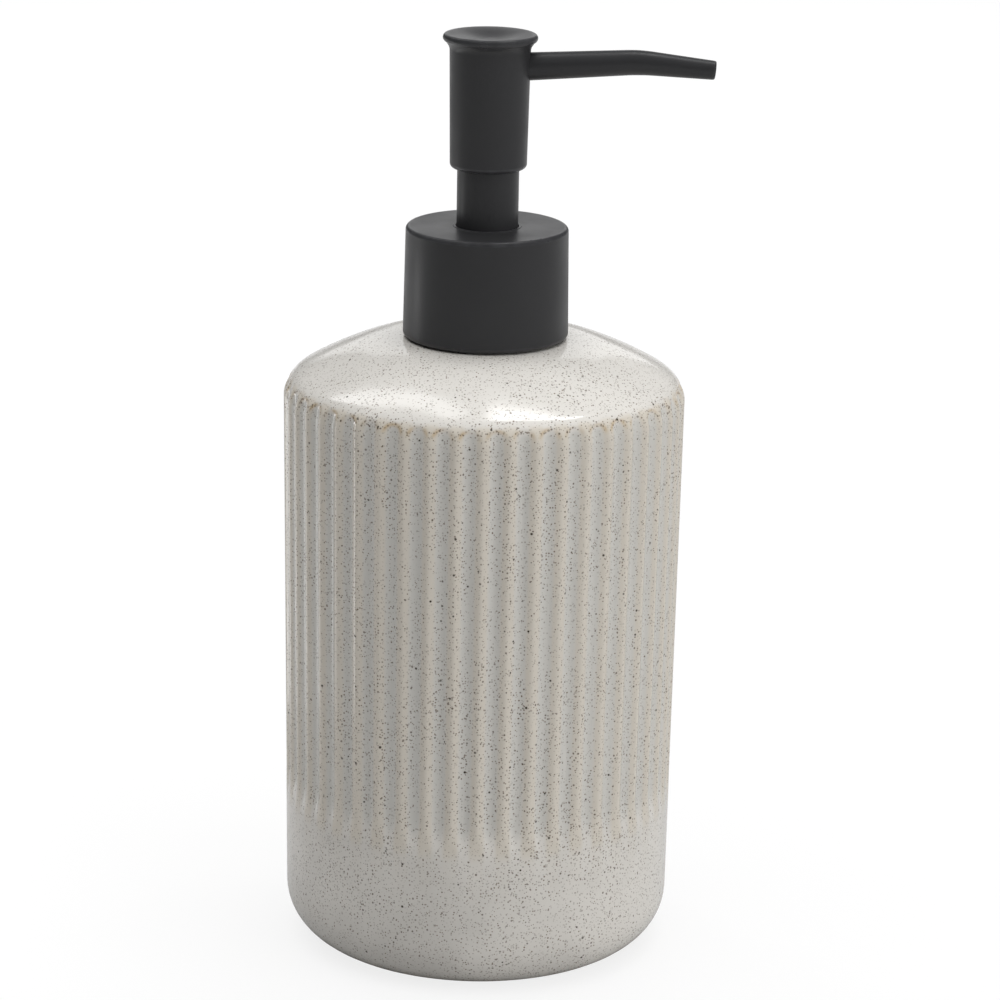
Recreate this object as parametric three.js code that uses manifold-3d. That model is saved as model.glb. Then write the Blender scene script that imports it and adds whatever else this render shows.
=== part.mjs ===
// Soap pump dispenser: a fluted ceramic bottle with a screw-on lotion pump.
//
// Millimetres, +Z up. The origin is the centre of the bottle's base, which stands on z = 0.
// The nozzle points along +X. Every piece that turns or slides does so about or along Z.
// Pieces that touch in the real object keep a small gap here, called CLEARANCE.

import * as THREE from 'three';
import { mergeVertices } from 'three/addons/utils/BufferGeometryUtils.js';
import Module from 'manifold-3d';

const wasm = await Module();
wasm.setup();

// ---------------------------------------------------------------- driving dimensions

const CLEARANCE = 0.3;

// Bottle: slightly tapered body, rounded base, rounded shoulder edge, spherical dome, short neck.
// Inside the crown's start the dome levels off into a flat land round the neck.
const BOTTLE_TOP_RADIUS = 38.6;
const BOTTLE_BASE_RADIUS = 37.7;
const BASE_ROUND = 10;
const SHOULDER_Z = 108.8;
const SHOULDER_ROUND = 6;
const DOME_RADIUS = 70;
const CROWN_START = 24;
const CROWN_ROUND = 25;
const WALL = 4.2;
const FLOOR = 5;
const NECK_RADIUS = 13.2;
const NECK_BORE = 10.6;
const NECK_TOP_Z = 127;

// Flutes: shallow upright grooves with a round top end and a fading lower end.
const FLUTES = 48;
const FLUTE_RADIUS = 2.6;
const FLUTE_DEPTH = 0.85;
const FLUTE_BOTTOM_Z = 29;
const FLUTE_TOP_Z = 112;
const FLUTE_FADE = 9;

// Collar: the black outer shell, whose top plate is the deck the stem comes out of.
const COLLAR_BOTTOM_RADIUS = 15.85;
const COLLAR_TOP_RADIUS = 15.5;
const COLLAR_HEIGHT = 21.3;
const COLLAR_WALL = 1.4;
const DECK = 1.2;
const DECK_ROUND = 0.6;

// Neck insert and its screw thread.
const FLANGE = 1.25;
const PLUG_RADIUS = 9;
const PLUG_LENGTH = 13;
const INSERT_BORE = 8.3;
const SEAL_RIBS = 3;
const THREAD_RADIUS = 11.9;
const THREAD_DEPTH = 1.3;
const THREAD_PITCH = 3.175;
const THREAD_TURNS = 1.5;
const CAP_THREAD_TURNS = 1;
const THREAD_STEPS_PER_TURN = 24;

// Pump engine.
const GASKET = 0.8;
const HOUSING_RADIUS = 7.4;
const HOUSING_BORE = 6.2;
const HOUSING_LENGTH = 48;
const SEAT_CONE = 2.4;
const SEAT_PORT = 1.6;
const BALL_RADIUS = 2.4;
const CAGE_HEIGHT = 5.2;
const CAGE_PLATE = 0.9;
const CAGE_SLOT = 1.6;
const TUBE_RADIUS = 2.9;
const TUBE_BORE = 2.1;
const TUBE_END_SLANT = 35;
const TUBE_GAP_TO_FLOOR = 3;
const SOCKET_DEPTH = 11;
const SOCKET_WALL = 1;
const SLEEVE_RADIUS = 5.88;
const SLEEVE_BORE = 4.9;
const SLEEVE_OVERLAP = 4.3;
const SLEEVE_DEPTH = 9;
const GUIDE_HEIGHT = 4;

// Return spring.
const COIL_RADIUS = 4.7;
const COIL_TURNS = 6.5;
const COIL_STEPS_PER_TURN = 14;
const WIRE_RADIUS = 0.45;

// Plunger: hollow stem, sliding seal, and the pin that closes the stem's lower end.
const STEM_RADIUS = 3;
const STEM_BORE = 1.7;
const STEM_PORT = 0.8;
const STEM_SHOULDER = 1;
const SEAL_HEIGHT = 6;
const SEAL_LIP = 0.4;
const SEAL_PLAY = 1;
const PIN_FLANGE = 1.4;
const PIN_SPIGOT = 3;
const PIN_POST = 3.5;

// Head: round body with a wider dished top, and a bent, tapered nozzle.
const HEAD_GAP = 11.2;
const HEAD_HEIGHT = 25.5;
const HEAD_BOTTOM_RADIUS = 7.3;
const HEAD_TOP_RADIUS = 7.65;
const HEAD_BORE = 6.2;
const HEAD_CROWN = 2.2;
const RIM_RADIUS = 8.95;
const RIM_EDGE = 1;
const RIM_FILLET = 1.8;
const DISH_DEPTH = 1.1;
const CORE_SOCKET_RADIUS = 4.5;
const CORE_SOCKET_LENGTH = 10.5;
const NOZZLE_BELOW_RIM = 6.5;
const NOZZLE_START_X = 2.2;
const NOZZLE_BEND_X = 28;
const NOZZLE_REACH = 42.2;
const NOZZLE_RISE = 3.2;
const NOZZLE_FALL = 5.2;
const NOZZLE_BEND_LENGTH = 5;
const NOZZLE_ROOT_RADIUS = 2.75;
const NOZZLE_BEND_RADIUS = 2.35;
const NOZZLE_TIP_RADIUS = 1.78;
const NOZZLE_BORE_SHARE = 0.62;
const NOZZLE_SIDES = 16;
const NOZZLE_STEPS = 12;

// Facets round a turned piece. The bottle has one for each flute.
const FACETS = 40;
const FACETS_SMALL = 24;
const FLUTE_FACETS = 12;
const ARC_STEPS = 4;

// ---------------------------------------------------------------- derived heights

const radians = THREE.MathUtils.degToRad;
const degrees = THREE.MathUtils.radToDeg;

// The dome is tangent to the shoulder's rounding, and its crown to the dome.
const shoulderCentre = BOTTLE_TOP_RADIUS - SHOULDER_ROUND;
const domeTangent = Math.acos(shoulderCentre / (DOME_RADIUS - SHOULDER_ROUND));
const domeCentreZ = SHOULDER_Z - shoulderCentre * Math.tan(domeTangent);
const crownTilt = Math.asin(CROWN_START / DOME_RADIUS);
const crownCentre = CROWN_START - CROWN_ROUND * Math.sin(crownTilt);
const crownCentreZ = domeCentreZ + (DOME_RADIUS - CROWN_ROUND) * Math.cos(crownTilt);
const landZ = crownCentreZ + CROWN_ROUND;
const collarInnerBottom = COLLAR_BOTTOM_RADIUS - COLLAR_WALL;

// Each sub-assembly has its own origin on the axis, at these heights above the base.
const neckZ = NECK_TOP_Z;
const closureZ = landZ + CLEARANCE;
const engineZ = closureZ + COLLAR_HEIGHT - DECK - CLEARANCE - FLANGE - CLEARANCE;
const headZ = closureZ + COLLAR_HEIGHT + HEAD_GAP;

// Above the neck's top: the insert, up to the gasket under the housing's flange.
const threadBase = CLEARANCE + FLANGE;
const threadCore = THREAD_RADIUS - THREAD_DEPTH;
const gasketTop = -FLANGE - CLEARANCE;
const insertTop = engineZ + gasketTop - GASKET - CLEARANCE - neckZ;

// Below the housing's top: guide, seal, pin, spring, cage and ball seat.
const seatDepth = -HOUSING_LENGTH;
const socketTop = seatDepth - SEAT_CONE - SOCKET_WALL;
const socketBottom = socketTop - SOCKET_DEPTH;
const guideTop = -SLEEVE_DEPTH;
const guideBottom = guideTop - GUIDE_HEIGHT;
const shoulderBottom = guideBottom - CLEARANCE - STEM_SHOULDER;
const sealTop = shoulderBottom - SEAL_PLAY - CLEARANCE;
const sealBottom = sealTop - SEAL_HEIGHT;
const pinTop = sealBottom - CLEARANCE;
const springTop = pinTop - PIN_FLANGE - CLEARANCE;
const cageTop = seatDepth + CAGE_HEIGHT;
const springBottom = cageTop + CLEARANCE;

// Above the head's lower edge.
const nozzleHeight = HEAD_HEIGHT - NOZZLE_BELOW_RIM;
const coreUnderside = nozzleHeight - NOZZLE_ROOT_RADIUS - 3 * CLEARANCE;
const stemTop = headZ + coreUnderside - engineZ;

// ---------------------------------------------------------------- materials

function material(color, roughness, metalness = 0) {
  return new THREE.MeshStandardMaterial({ color, roughness, metalness });
}

const stoneware = material(0xc9c5bd, 0.2);
const blackPlastic = material(0x2a2a2b, 0.55);
const naturalPlastic = material(0xe6e6df, 0.4);
const silicone = material(0xd9d9d4, 0.7);
const stainless = material(0xbfc2c4, 0.25, 1);

// ---------------------------------------------------------------- geometry helpers

const point = (radius, z) => new THREE.Vector2(radius, z);

// Points on a circular arc in the (radius, z) plane, both ends included.
function arc(centreRadius, centreZ, radius, fromDegrees, toDegrees, steps = ARC_STEPS) {
  const points = [];
  for (let i = 0; i <= steps; i += 1) {
    const angle = radians(THREE.MathUtils.lerp(fromDegrees, toDegrees, i / steps));
    points.push(point(centreRadius + radius * Math.cos(angle), centreZ + radius * Math.sin(angle)));
  }
  return points;
}

// A solid of revolution about Z. The profile runs upwards on its outer side; one that doesn't
// start and end on the axis is closed back to its first point.
function turned(profile, facets = FACETS_SMALL) {
  const endsOnAxis = profile[0].x === 0 && profile[profile.length - 1].x === 0;
  const outline = endsOnAxis ? profile : [...profile, profile[0]];
  return new THREE.LatheGeometry(outline, facets).rotateX(Math.PI / 2);
}

// A plain tube or washer about Z.
function ring(inner, outer, bottom, top, facets = FACETS_SMALL) {
  return turned([point(inner, bottom), point(outer, bottom), point(outer, top), point(inner, top)], facets);
}

// A section (x outwards, y upwards) carried up a right-hand helix about Z. It is extruded as a
// straight prism, and every vertex of the prism is then moved round the axis.
function helix(section, radius, start, pitch, turns, stepsPerTurn) {
  const sweep = 2 * Math.PI * turns;
  const steps = Math.round(turns * stepsPerTurn);
  const prism = new THREE.ExtrudeGeometry(section, { depth: sweep, steps, bevelEnabled: false });
  const place = prism.getAttribute('position');
  for (let i = 0; i < place.count; i += 1) {
    const angle = sweep - place.getZ(i);
    const reach = radius + place.getX(i);
    const height = start + place.getY(i) + (pitch * angle) / (2 * Math.PI);
    place.setXYZ(i, reach * Math.cos(angle), reach * Math.sin(angle), height);
  }
  return prism;
}

// ---------------------------------------------------------------- booleans

function toSolid(geometry) {
  const bare = geometry.clone();
  bare.deleteAttribute('normal');
  bare.deleteAttribute('uv');
  const merged = mergeVertices(bare, 1e-4);
  const corners = merged.getIndex().array;
  const triangles = [];
  for (let i = 0; i < corners.length; i += 3) {
    const [a, b, c] = corners.slice(i, i + 3);
    if (a !== b && b !== c && c !== a) {
      triangles.push(a, b, c);
    }
  }
  const vertProperties = new Float32Array(merged.getAttribute('position').array);
  const triVerts = new Uint32Array(triangles);
  return new wasm.Manifold(new wasm.Mesh({ numProp: 3, vertProperties, triVerts }));
}

function toGeometry(solid) {
  const mesh = solid.getMesh();
  const geometry = new THREE.BufferGeometry();
  geometry.setAttribute('position', new THREE.BufferAttribute(mesh.vertProperties, 3));
  geometry.setIndex(new THREE.BufferAttribute(mesh.triVerts, 1));
  geometry.computeVertexNormals();
  return geometry;
}

// Takes every cutter away from the base.
function cut(base, ...cutters) {
  return toGeometry(cutters.reduce((solid, cutter) => solid.subtract(toSolid(cutter)), toSolid(base)));
}

// Joins two geometries that overlap.
function join(base, other) {
  return toGeometry(toSolid(base).add(toSolid(other)));
}

// ---------------------------------------------------------------- bottle

function bottleBlank() {
  const tangentAngle = degrees(domeTangent);
  const crownAngle = 90 - degrees(crownTilt);
  return turned([
    point(0, 0),
    ...arc(BOTTLE_BASE_RADIUS - BASE_ROUND, BASE_ROUND, BASE_ROUND, -90, 0),
    ...arc(shoulderCentre, SHOULDER_Z, SHOULDER_ROUND, 0, tangentAngle),
    ...arc(0, domeCentreZ, DOME_RADIUS, tangentAngle, crownAngle).slice(1),
    ...arc(crownCentre, crownCentreZ, CROWN_ROUND, crownAngle, 90).slice(1),
    point(NECK_RADIUS, landZ),
    point(NECK_RADIUS, NECK_TOP_Z),
    point(0, NECK_TOP_Z),
  ], FLUTES);
}

// The hollow follows the outside one wall further in, and opens upwards through the neck.
function bottleHollow() {
  const cornerRound = BASE_ROUND - WALL;
  const domeRadius = DOME_RADIUS - WALL;
  const domeStart = degrees(Math.acos((shoulderCentre - WALL / 2) / domeRadius));
  const domeEnd = degrees(Math.acos(NECK_BORE / domeRadius));
  return turned([
    point(0, FLOOR),
    ...arc(BOTTLE_BASE_RADIUS - BASE_ROUND, FLOOR + cornerRound, cornerRound, -90, 0, 4),
    point(BOTTLE_TOP_RADIUS - WALL, SHOULDER_Z - SHOULDER_ROUND),
    ...arc(0, domeCentreZ, domeRadius, domeStart, domeEnd, 3),
    point(NECK_BORE, NECK_TOP_Z + 1),
    point(0, NECK_TOP_Z + 1),
  ], FACETS_SMALL);
}

// A flute's cutter is an upright rod with a ball end at the top. It is thinnest at the bottom,
// where it comes out of the wall. Its origin is on its axis at the shoulder's height.
function fluteCutter() {
  const clearOfWall = FLUTE_RADIUS - FLUTE_DEPTH - 0.1;
  const bottom = FLUTE_BOTTOM_Z - SHOULDER_Z;
  const ballCentre = FLUTE_TOP_Z - FLUTE_RADIUS - SHOULDER_Z;
  return turned([
    point(0, bottom),
    point(clearOfWall, bottom),
    point(FLUTE_RADIUS - FLUTE_DEPTH / 3, bottom + FLUTE_FADE / 3),
    point(FLUTE_RADIUS, bottom + FLUTE_FADE),
    ...arc(0, ballCentre, FLUTE_RADIUS, 0, 90, 3),
  ], FLUTE_FACETS);
}

function bottle() {
  const wallLean = Math.atan((BOTTLE_TOP_RADIUS - BOTTLE_BASE_RADIUS) / (SHOULDER_Z - BASE_ROUND));
  const cutterRadius = BOTTLE_TOP_RADIUS - FLUTE_DEPTH + FLUTE_RADIUS;
  const cutters = [];
  for (let i = 0; i < FLUTES; i += 1) {
    const cutter = fluteCutter();
    cutter.rotateY(wallLean);
    cutter.translate(cutterRadius, 0, SHOULDER_Z);
    cutter.rotateZ((2 * Math.PI * (i + 0.5)) / FLUTES);
    cutters.push(cutter);
  }
  return cut(bottleBlank(), bottleHollow(), ...cutters);
}

// ---------------------------------------------------------------- neck fittings and closure

// A thread ridge's section: a trapezium whose root is sunk into the wall it stands on.
// It stands outwards on the insert (side 1) and inwards in the screw cap (side -1).
function threadSection(side) {
  const rootX = -side * CLEARANCE;
  const crestX = side * THREAD_DEPTH;
  const rootHalf = THREAD_PITCH * 0.3;
  const crestHalf = THREAD_PITCH * 0.1;
  return new THREE.Shape([
    point(rootX, -rootHalf),
    point(crestX, -crestHalf),
    point(crestX, crestHalf),
    point(rootX, rootHalf),
  ]);
}

// A plug that drops into the ceramic mouth, a flange that rests on the neck, a male thread.
function neckInsert() {
  const flangeRadius = NECK_RADIUS - 0.2;
  const body = turned([
    point(INSERT_BORE, -PLUG_LENGTH),
    point(PLUG_RADIUS, -PLUG_LENGTH),
    point(PLUG_RADIUS, CLEARANCE),
    point(flangeRadius, CLEARANCE),
    point(flangeRadius, threadBase),
    point(threadCore, threadBase),
    point(threadCore, insertTop),
    point(INSERT_BORE, insertTop),
  ], FACETS);
  const start = threadBase + THREAD_PITCH * 0.55;
  const ridge = helix(threadSection(1), threadCore, start, THREAD_PITCH, THREAD_TURNS, THREAD_STEPS_PER_TURN);
  return join(body, ridge);
}

// The soft ribbed ring round the plug, which grips the mouth.
function neckSeal() {
  const inner = PLUG_RADIUS + CLEARANCE;
  const outer = NECK_BORE - CLEARANCE;
  const groove = outer - 0.6;
  const bottom = -PLUG_LENGTH + 1.5;
  const rib = (-CLEARANCE - bottom) / SEAL_RIBS;
  const profile = [point(inner, bottom), point(groove, bottom)];
  for (let i = 0; i < SEAL_RIBS; i += 1) {
    const ribBottom = bottom + i * rib;
    profile.push(point(outer, ribBottom + rib * 0.4));
    profile.push(point(outer, ribBottom + rib * 0.6));
    profile.push(point(groove, ribBottom + rib));
  }
  profile.push(point(inner, -CLEARANCE));
  return turned(profile);
}

// The threaded closure inside the collar. Its ridge runs half a pitch above the insert's.
function screwCap() {
  const wall = THREAD_RADIUS + CLEARANCE;
  const outer = COLLAR_TOP_RADIUS - COLLAR_WALL - CLEARANCE;
  const stemHole = SLEEVE_RADIUS + CLEARANCE;
  const bottom = neckZ + threadBase + CLEARANCE - closureZ;
  const top = COLLAR_HEIGHT - DECK - CLEARANCE;
  const body = turned([
    point(wall, bottom),
    point(outer, bottom),
    point(outer, top),
    point(stemHole, top),
    point(stemHole, top - FLANGE),
    point(wall, top - FLANGE),
  ], FACETS);
  const start = bottom - CLEARANCE + THREAD_PITCH * 1.05;
  const ridge = helix(threadSection(-1), wall, start, THREAD_PITCH, CAP_THREAD_TURNS, THREAD_STEPS_PER_TURN);
  return join(body, ridge);
}

// The visible black collar: a slightly tapered cup, upside down, with the stem's hole in it.
function collarShell() {
  const stemHole = SLEEVE_RADIUS + CLEARANCE;
  const innerTop = COLLAR_TOP_RADIUS - COLLAR_WALL;
  return turned([
    point(collarInnerBottom, 0),
    point(COLLAR_BOTTOM_RADIUS - DECK_ROUND / 2, 0),
    point(COLLAR_BOTTOM_RADIUS, DECK_ROUND / 2),
    ...arc(COLLAR_TOP_RADIUS - DECK_ROUND, COLLAR_HEIGHT - DECK_ROUND, DECK_ROUND, 0, 90, 3),
    point(stemHole, COLLAR_HEIGHT),
    point(stemHole, COLLAR_HEIGHT - DECK),
    point(innerTop, COLLAR_HEIGHT - DECK),
  ], FACETS);
}

// ---------------------------------------------------------------- pump engine

function housingGasket() {
  return ring(HOUSING_RADIUS + CLEARANCE, threadCore, gasketTop - GASKET, gasketTop);
}

// Flanged cylinder with a cone that seats the ball, a port, and a socket for the dip tube.
function pumpHousing() {
  const socket = TUBE_RADIUS + CLEARANCE;
  return turned([
    point(socket, socketBottom),
    point(socket + SOCKET_WALL, socketBottom),
    point(socket + SOCKET_WALL, socketTop - SOCKET_WALL),
    point(HOUSING_RADIUS, seatDepth),
    point(HOUSING_RADIUS, -FLANGE),
    point(threadCore, -FLANGE),
    point(threadCore, 0),
    point(HOUSING_BORE, 0),
    point(HOUSING_BORE, seatDepth + 1.6),
    point(BALL_RADIUS + 1, seatDepth + 0.4),
    point(SEAT_PORT, seatDepth - SEAT_CONE * 0.7),
    point(SEAT_PORT, socketTop),
    point(socket, socketTop),
  ]);
}

// The black sleeve that stands out of the collar and runs down inside the housing.
function guideSleeve() {
  const edge = 0.4;
  const top = headZ + SLEEVE_OVERLAP - engineZ;
  return turned([
    point(SLEEVE_BORE, guideTop + CLEARANCE),
    point(SLEEVE_RADIUS, guideTop + CLEARANCE),
    point(SLEEVE_RADIUS, top - edge),
    point(SLEEVE_RADIUS - edge, top),
    point(SLEEVE_BORE, top),
  ], FACETS);
}

// The guide that centres the stem and stops the piston's way up.
function stemGuide() {
  return ring(STEM_RADIUS + CLEARANCE, HOUSING_BORE - CLEARANCE, guideBottom, guideTop);
}

// The seat of the spring, whose slotted top plate keeps the ball in.
function springSeat() {
  const inner = BALL_RADIUS + 0.9;
  const outer = HOUSING_BORE - CLEARANCE;
  const bottom = seatDepth + 2;
  const body = turned([
    point(inner, bottom),
    point(outer, bottom),
    point(outer, cageTop),
    point(SEAT_PORT, cageTop),
    point(SEAT_PORT, cageTop - CAGE_PLATE),
    point(inner, cageTop - CAGE_PLATE),
  ]);
  const slot = new THREE.BoxGeometry(2 * (inner - CLEARANCE), CAGE_SLOT, 4 * CAGE_PLATE);
  slot.translate(0, 0, cageTop);
  return cut(body, slot, slot.clone().rotateZ(Math.PI / 2));
}

function inletBall() {
  return new THREE.SphereGeometry(BALL_RADIUS, 16, 10);
}

// The ball's height when it rests on the housing's cone.
function ballHeight() {
  const coneRun = BALL_RADIUS + 1 - SEAT_PORT;
  const coneRise = 0.4 + SEAT_CONE * 0.7;
  const slope = Math.atan2(coneRise, coneRun);
  const apex = seatDepth - SEAT_CONE * 0.7 - SEAT_PORT * Math.tan(slope);
  return apex + (BALL_RADIUS + 0.1) / Math.cos(slope);
}

// The dip tube ends in a slanted cut just above the bottle's floor.
function dipTube() {
  const slant = radians(TUBE_END_SLANT);
  const end = FLOOR + TUBE_GAP_TO_FLOOR - engineZ;
  const knife = new THREE.BoxGeometry(20, 20, 10).translate(0, 0, -5).rotateY(slant);
  knife.translate(0, 0, end + TUBE_RADIUS * Math.tan(slant));
  return cut(ring(TUBE_BORE, TUBE_RADIUS, end, socketTop - CLEARANCE, 20), knife);
}

function returnSpring() {
  const circle = new THREE.EllipseCurve(0, 0, WIRE_RADIUS, WIRE_RADIUS).getPoints(6).slice(0, -1);
  const wire = new THREE.Shape(circle);
  const start = springBottom + WIRE_RADIUS;
  const pitch = (springTop - springBottom - 2 * WIRE_RADIUS) / COIL_TURNS;
  return helix(wire, COIL_RADIUS, start, pitch, COIL_TURNS, COIL_STEPS_PER_TURN);
}

// ---------------------------------------------------------------- plunger

// The hollow stem, from the valve pin up into the head. Its shoulder drives the seal down,
// and liquid enters it through the cross ports that the seal covers at rest.
function pistonStem() {
  const shoulderRadius = STEM_RADIUS + STEM_SHOULDER;
  const body = turned([
    point(STEM_BORE, sealBottom),
    point(STEM_RADIUS, sealBottom),
    point(STEM_RADIUS, shoulderBottom),
    point(shoulderRadius, shoulderBottom),
    point(shoulderRadius, shoulderBottom + STEM_SHOULDER),
    point(STEM_RADIUS, shoulderBottom + STEM_SHOULDER),
    point(STEM_RADIUS, stemTop),
    point(STEM_BORE, stemTop),
  ], 24);
  const port = new THREE.CylinderGeometry(STEM_PORT, STEM_PORT, 4 * STEM_RADIUS, 12);
  port.translate(0, 0, sealBottom + PIN_POST + 2 * STEM_PORT - SEAL_HEIGHT / 4);
  return cut(body, port);
}

// The sliding seal: a hub with a thin wiping lip at each end.
function pistonSeal() {
  const inner = STEM_RADIUS + CLEARANCE;
  const hub = inner + 1;
  const lip = HOUSING_BORE - CLEARANCE;
  const waist = lip - 2 * SEAL_LIP;
  const groove = SEAL_HEIGHT / 4;
  return turned([
    point(inner, sealBottom),
    point(hub, sealBottom),
    point(hub + SEAL_LIP, sealBottom + groove),
    point(lip - SEAL_LIP, sealBottom),
    point(lip, sealBottom),
    point(waist, sealBottom + SEAL_HEIGHT / 2),
    point(lip, sealTop),
    point(lip - SEAL_LIP, sealTop),
    point(hub + SEAL_LIP, sealTop - groove),
    point(hub, sealTop),
    point(inner, sealTop),
  ]);
}

// The valve pin: a post plugs the stem, a flange carries the seal, a spigot centres the spring.
function stemPin() {
  const post = STEM_BORE - CLEARANCE;
  const flange = COIL_RADIUS + 2 * WIRE_RADIUS;
  const spigot = COIL_RADIUS - WIRE_RADIUS - CLEARANCE;
  const flangeBottom = pinTop - PIN_FLANGE;
  return turned([
    point(0, flangeBottom - PIN_SPIGOT),
    point(spigot - 0.6, flangeBottom - PIN_SPIGOT),
    point(spigot, flangeBottom - PIN_SPIGOT / 2),
    point(spigot, flangeBottom),
    point(flange, flangeBottom),
    point(flange, pinTop),
    point(post, pinTop),
    point(post, pinTop + PIN_POST),
    point(0, pinTop + PIN_POST),
  ], 24);
}

// ---------------------------------------------------------------- head

// The nozzle's centre line from the head's axis: a slight rise, a soft bend, then a fall
// that runs on past the tip.
function nozzlePath() {
  const rise = Math.tan(radians(NOZZLE_RISE));
  const fall = Math.tan(radians(NOZZLE_FALL));
  const half = NOZZLE_BEND_LENGTH / 2;
  const bend = new THREE.Vector3(NOZZLE_BEND_X, 0, NOZZLE_BEND_X * rise);
  const before = new THREE.Vector3(bend.x - half, 0, bend.z - half * rise);
  const after = new THREE.Vector3(bend.x + half, 0, bend.z - half * fall);
  const end = new THREE.Vector3(NOZZLE_REACH + half, 0, bend.z - (NOZZLE_REACH + half - bend.x) * fall);
  const path = new THREE.CurvePath();
  path.add(new THREE.LineCurve3(new THREE.Vector3(), before));
  path.add(new THREE.QuadraticBezierCurve3(before, bend, after));
  path.add(new THREE.LineCurve3(after, end));
  return path;
}

// The nozzle's outer radius at a distance along X.
function nozzleRadius(x) {
  const { mapLinear } = THREE.MathUtils;
  if (x < NOZZLE_BEND_X) {
    return mapLinear(x, 0, NOZZLE_BEND_X, NOZZLE_ROOT_RADIUS, NOZZLE_BEND_RADIUS);
  }
  return mapLinear(x, NOZZLE_BEND_X, NOZZLE_REACH, NOZZLE_BEND_RADIUS, NOZZLE_TIP_RADIUS);
}

// A round rod on the nozzle's centre line between two distances from the head's axis. Its
// radius is the nozzle's own, times a share, plus a growth.
function nozzleRod(fromX, toX, share = 1, growth = 0) {
  const circle = new THREE.EllipseCurve(0, 0, 1, 1).getPoints(NOZZLE_SIDES).slice(0, -1);
  const prism = new THREE.ExtrudeGeometry(new THREE.Shape(circle), {
    depth: 1,
    steps: NOZZLE_STEPS,
    bevelEnabled: false,
  });
  const path = nozzlePath();
  const pathReach = NOZZLE_REACH + NOZZLE_BEND_LENGTH / 2;
  const place = prism.getAttribute('position');
  for (let i = 0; i < place.count; i += 1) {
    const x = THREE.MathUtils.lerp(fromX, toX, place.getZ(i));
    const centre = path.getPointAt(x / pathReach);
    const ahead = path.getTangentAt(x / pathReach);
    const radius = nozzleRadius(x) * share + growth;
    const up = new THREE.Vector3(-ahead.z, 0, ahead.x).multiplyScalar(radius * place.getY(i));
    place.setXYZ(i, centre.x + up.x, radius * place.getX(i), centre.z + up.z + nozzleHeight);
  }
  return prism;
}

function nozzle() {
  return cut(nozzleRod(NOZZLE_START_X, NOZZLE_REACH), nozzleRod(1, NOZZLE_REACH + 2, NOZZLE_BORE_SHARE));
}

// The outer shell: a skirt over the sleeve, a round body and the dished disc on top.
function headShell() {
  const filletBottom = HEAD_HEIGHT - RIM_EDGE - RIM_FILLET;
  const filletCentre = HEAD_TOP_RADIUS + RIM_FILLET;
  const edge = 0.3;
  const body = turned([
    point(HEAD_BORE, 0),
    point(HEAD_BOTTOM_RADIUS - edge, 0),
    point(HEAD_BOTTOM_RADIUS, edge),
    ...arc(filletCentre, filletBottom, RIM_FILLET, 180, 110, 4),
    point(RIM_RADIUS, HEAD_HEIGHT - RIM_EDGE),
    point(RIM_RADIUS, HEAD_HEIGHT - edge),
    point(RIM_RADIUS - edge, HEAD_HEIGHT),
    point(RIM_RADIUS * 0.85, HEAD_HEIGHT - DISH_DEPTH * 0.3),
    point(RIM_RADIUS * 0.5, HEAD_HEIGHT - DISH_DEPTH * 0.8),
    point(0, HEAD_HEIGHT - DISH_DEPTH),
    point(0, HEAD_HEIGHT - HEAD_CROWN),
    point(HEAD_BORE, HEAD_HEIGHT - HEAD_CROWN),
  ], FACETS);
  return cut(body, nozzleRod(CORE_SOCKET_RADIUS, RIM_RADIUS + 2, 1, CLEARANCE));
}

// The core inside the shell: a socket for the stem, a channel, and a side pocket for the nozzle.
function headCore() {
  const socket = STEM_RADIUS + CLEARANCE;
  const bottom = coreUnderside - CORE_SOCKET_LENGTH;
  const outer = HEAD_BORE - CLEARANCE;
  const top = HEAD_HEIGHT - HEAD_CROWN - CLEARANCE;
  const body = turned([
    point(socket, bottom),
    point(CORE_SOCKET_RADIUS, bottom),
    point(CORE_SOCKET_RADIUS, coreUnderside),
    point(outer, coreUnderside),
    point(outer, top),
    point(0, top),
    point(0, nozzleHeight + 1),
    point(STEM_BORE, nozzleHeight + 1),
    point(STEM_BORE, coreUnderside + CLEARANCE),
    point(socket, coreUnderside + CLEARANCE),
  ]);
  return cut(body, nozzleRod(1, 2 * HEAD_BORE, 1, CLEARANCE));
}

// ---------------------------------------------------------------- assembly

function piece(name, geometry, look, height = 0) {
  const mesh = new THREE.Mesh(geometry, look);
  mesh.name = name;
  mesh.position.z = height;
  return mesh;
}

// A sub-assembly whose own origin is at a height above the base.
function assembly(height, ...pieces) {
  const group = new THREE.Group();
  group.position.z = height;
  group.add(...pieces);
  return group;
}

const dispenser = assembly(
  0,
  piece('bottle', bottle(), stoneware),
  assembly(
    neckZ,
    piece('neck_insert', neckInsert(), naturalPlastic),
    piece('neck_seal', neckSeal(), silicone),
  ),
  assembly(
    closureZ,
    piece('screw_cap', screwCap(), naturalPlastic),
    piece('collar_shell', collarShell(), blackPlastic),
  ),
  assembly(
    engineZ,
    piece('housing_gasket', housingGasket(), silicone),
    piece('pump_housing', pumpHousing(), naturalPlastic),
    piece('guide_sleeve', guideSleeve(), blackPlastic),
    piece('stem_guide', stemGuide(), naturalPlastic),
    piece('spring_seat', springSeat(), naturalPlastic),
    piece('inlet_ball', inletBall(), stainless, ballHeight()),
    piece('dip_tube', dipTube(), naturalPlastic),
    piece('return_spring', returnSpring(), stainless),
    piece('piston_stem', pistonStem(), naturalPlastic),
    piece('piston_seal', pistonSeal(), silicone),
    piece('stem_pin', stemPin(), naturalPlastic),
  ),
  assembly(
    headZ,
    piece('head_shell', headShell(), blackPlastic),
    piece('head_core', headCore(), naturalPlastic),
    piece('nozzle', nozzle(), blackPlastic),
  ),
);

export default dispenser;
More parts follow.
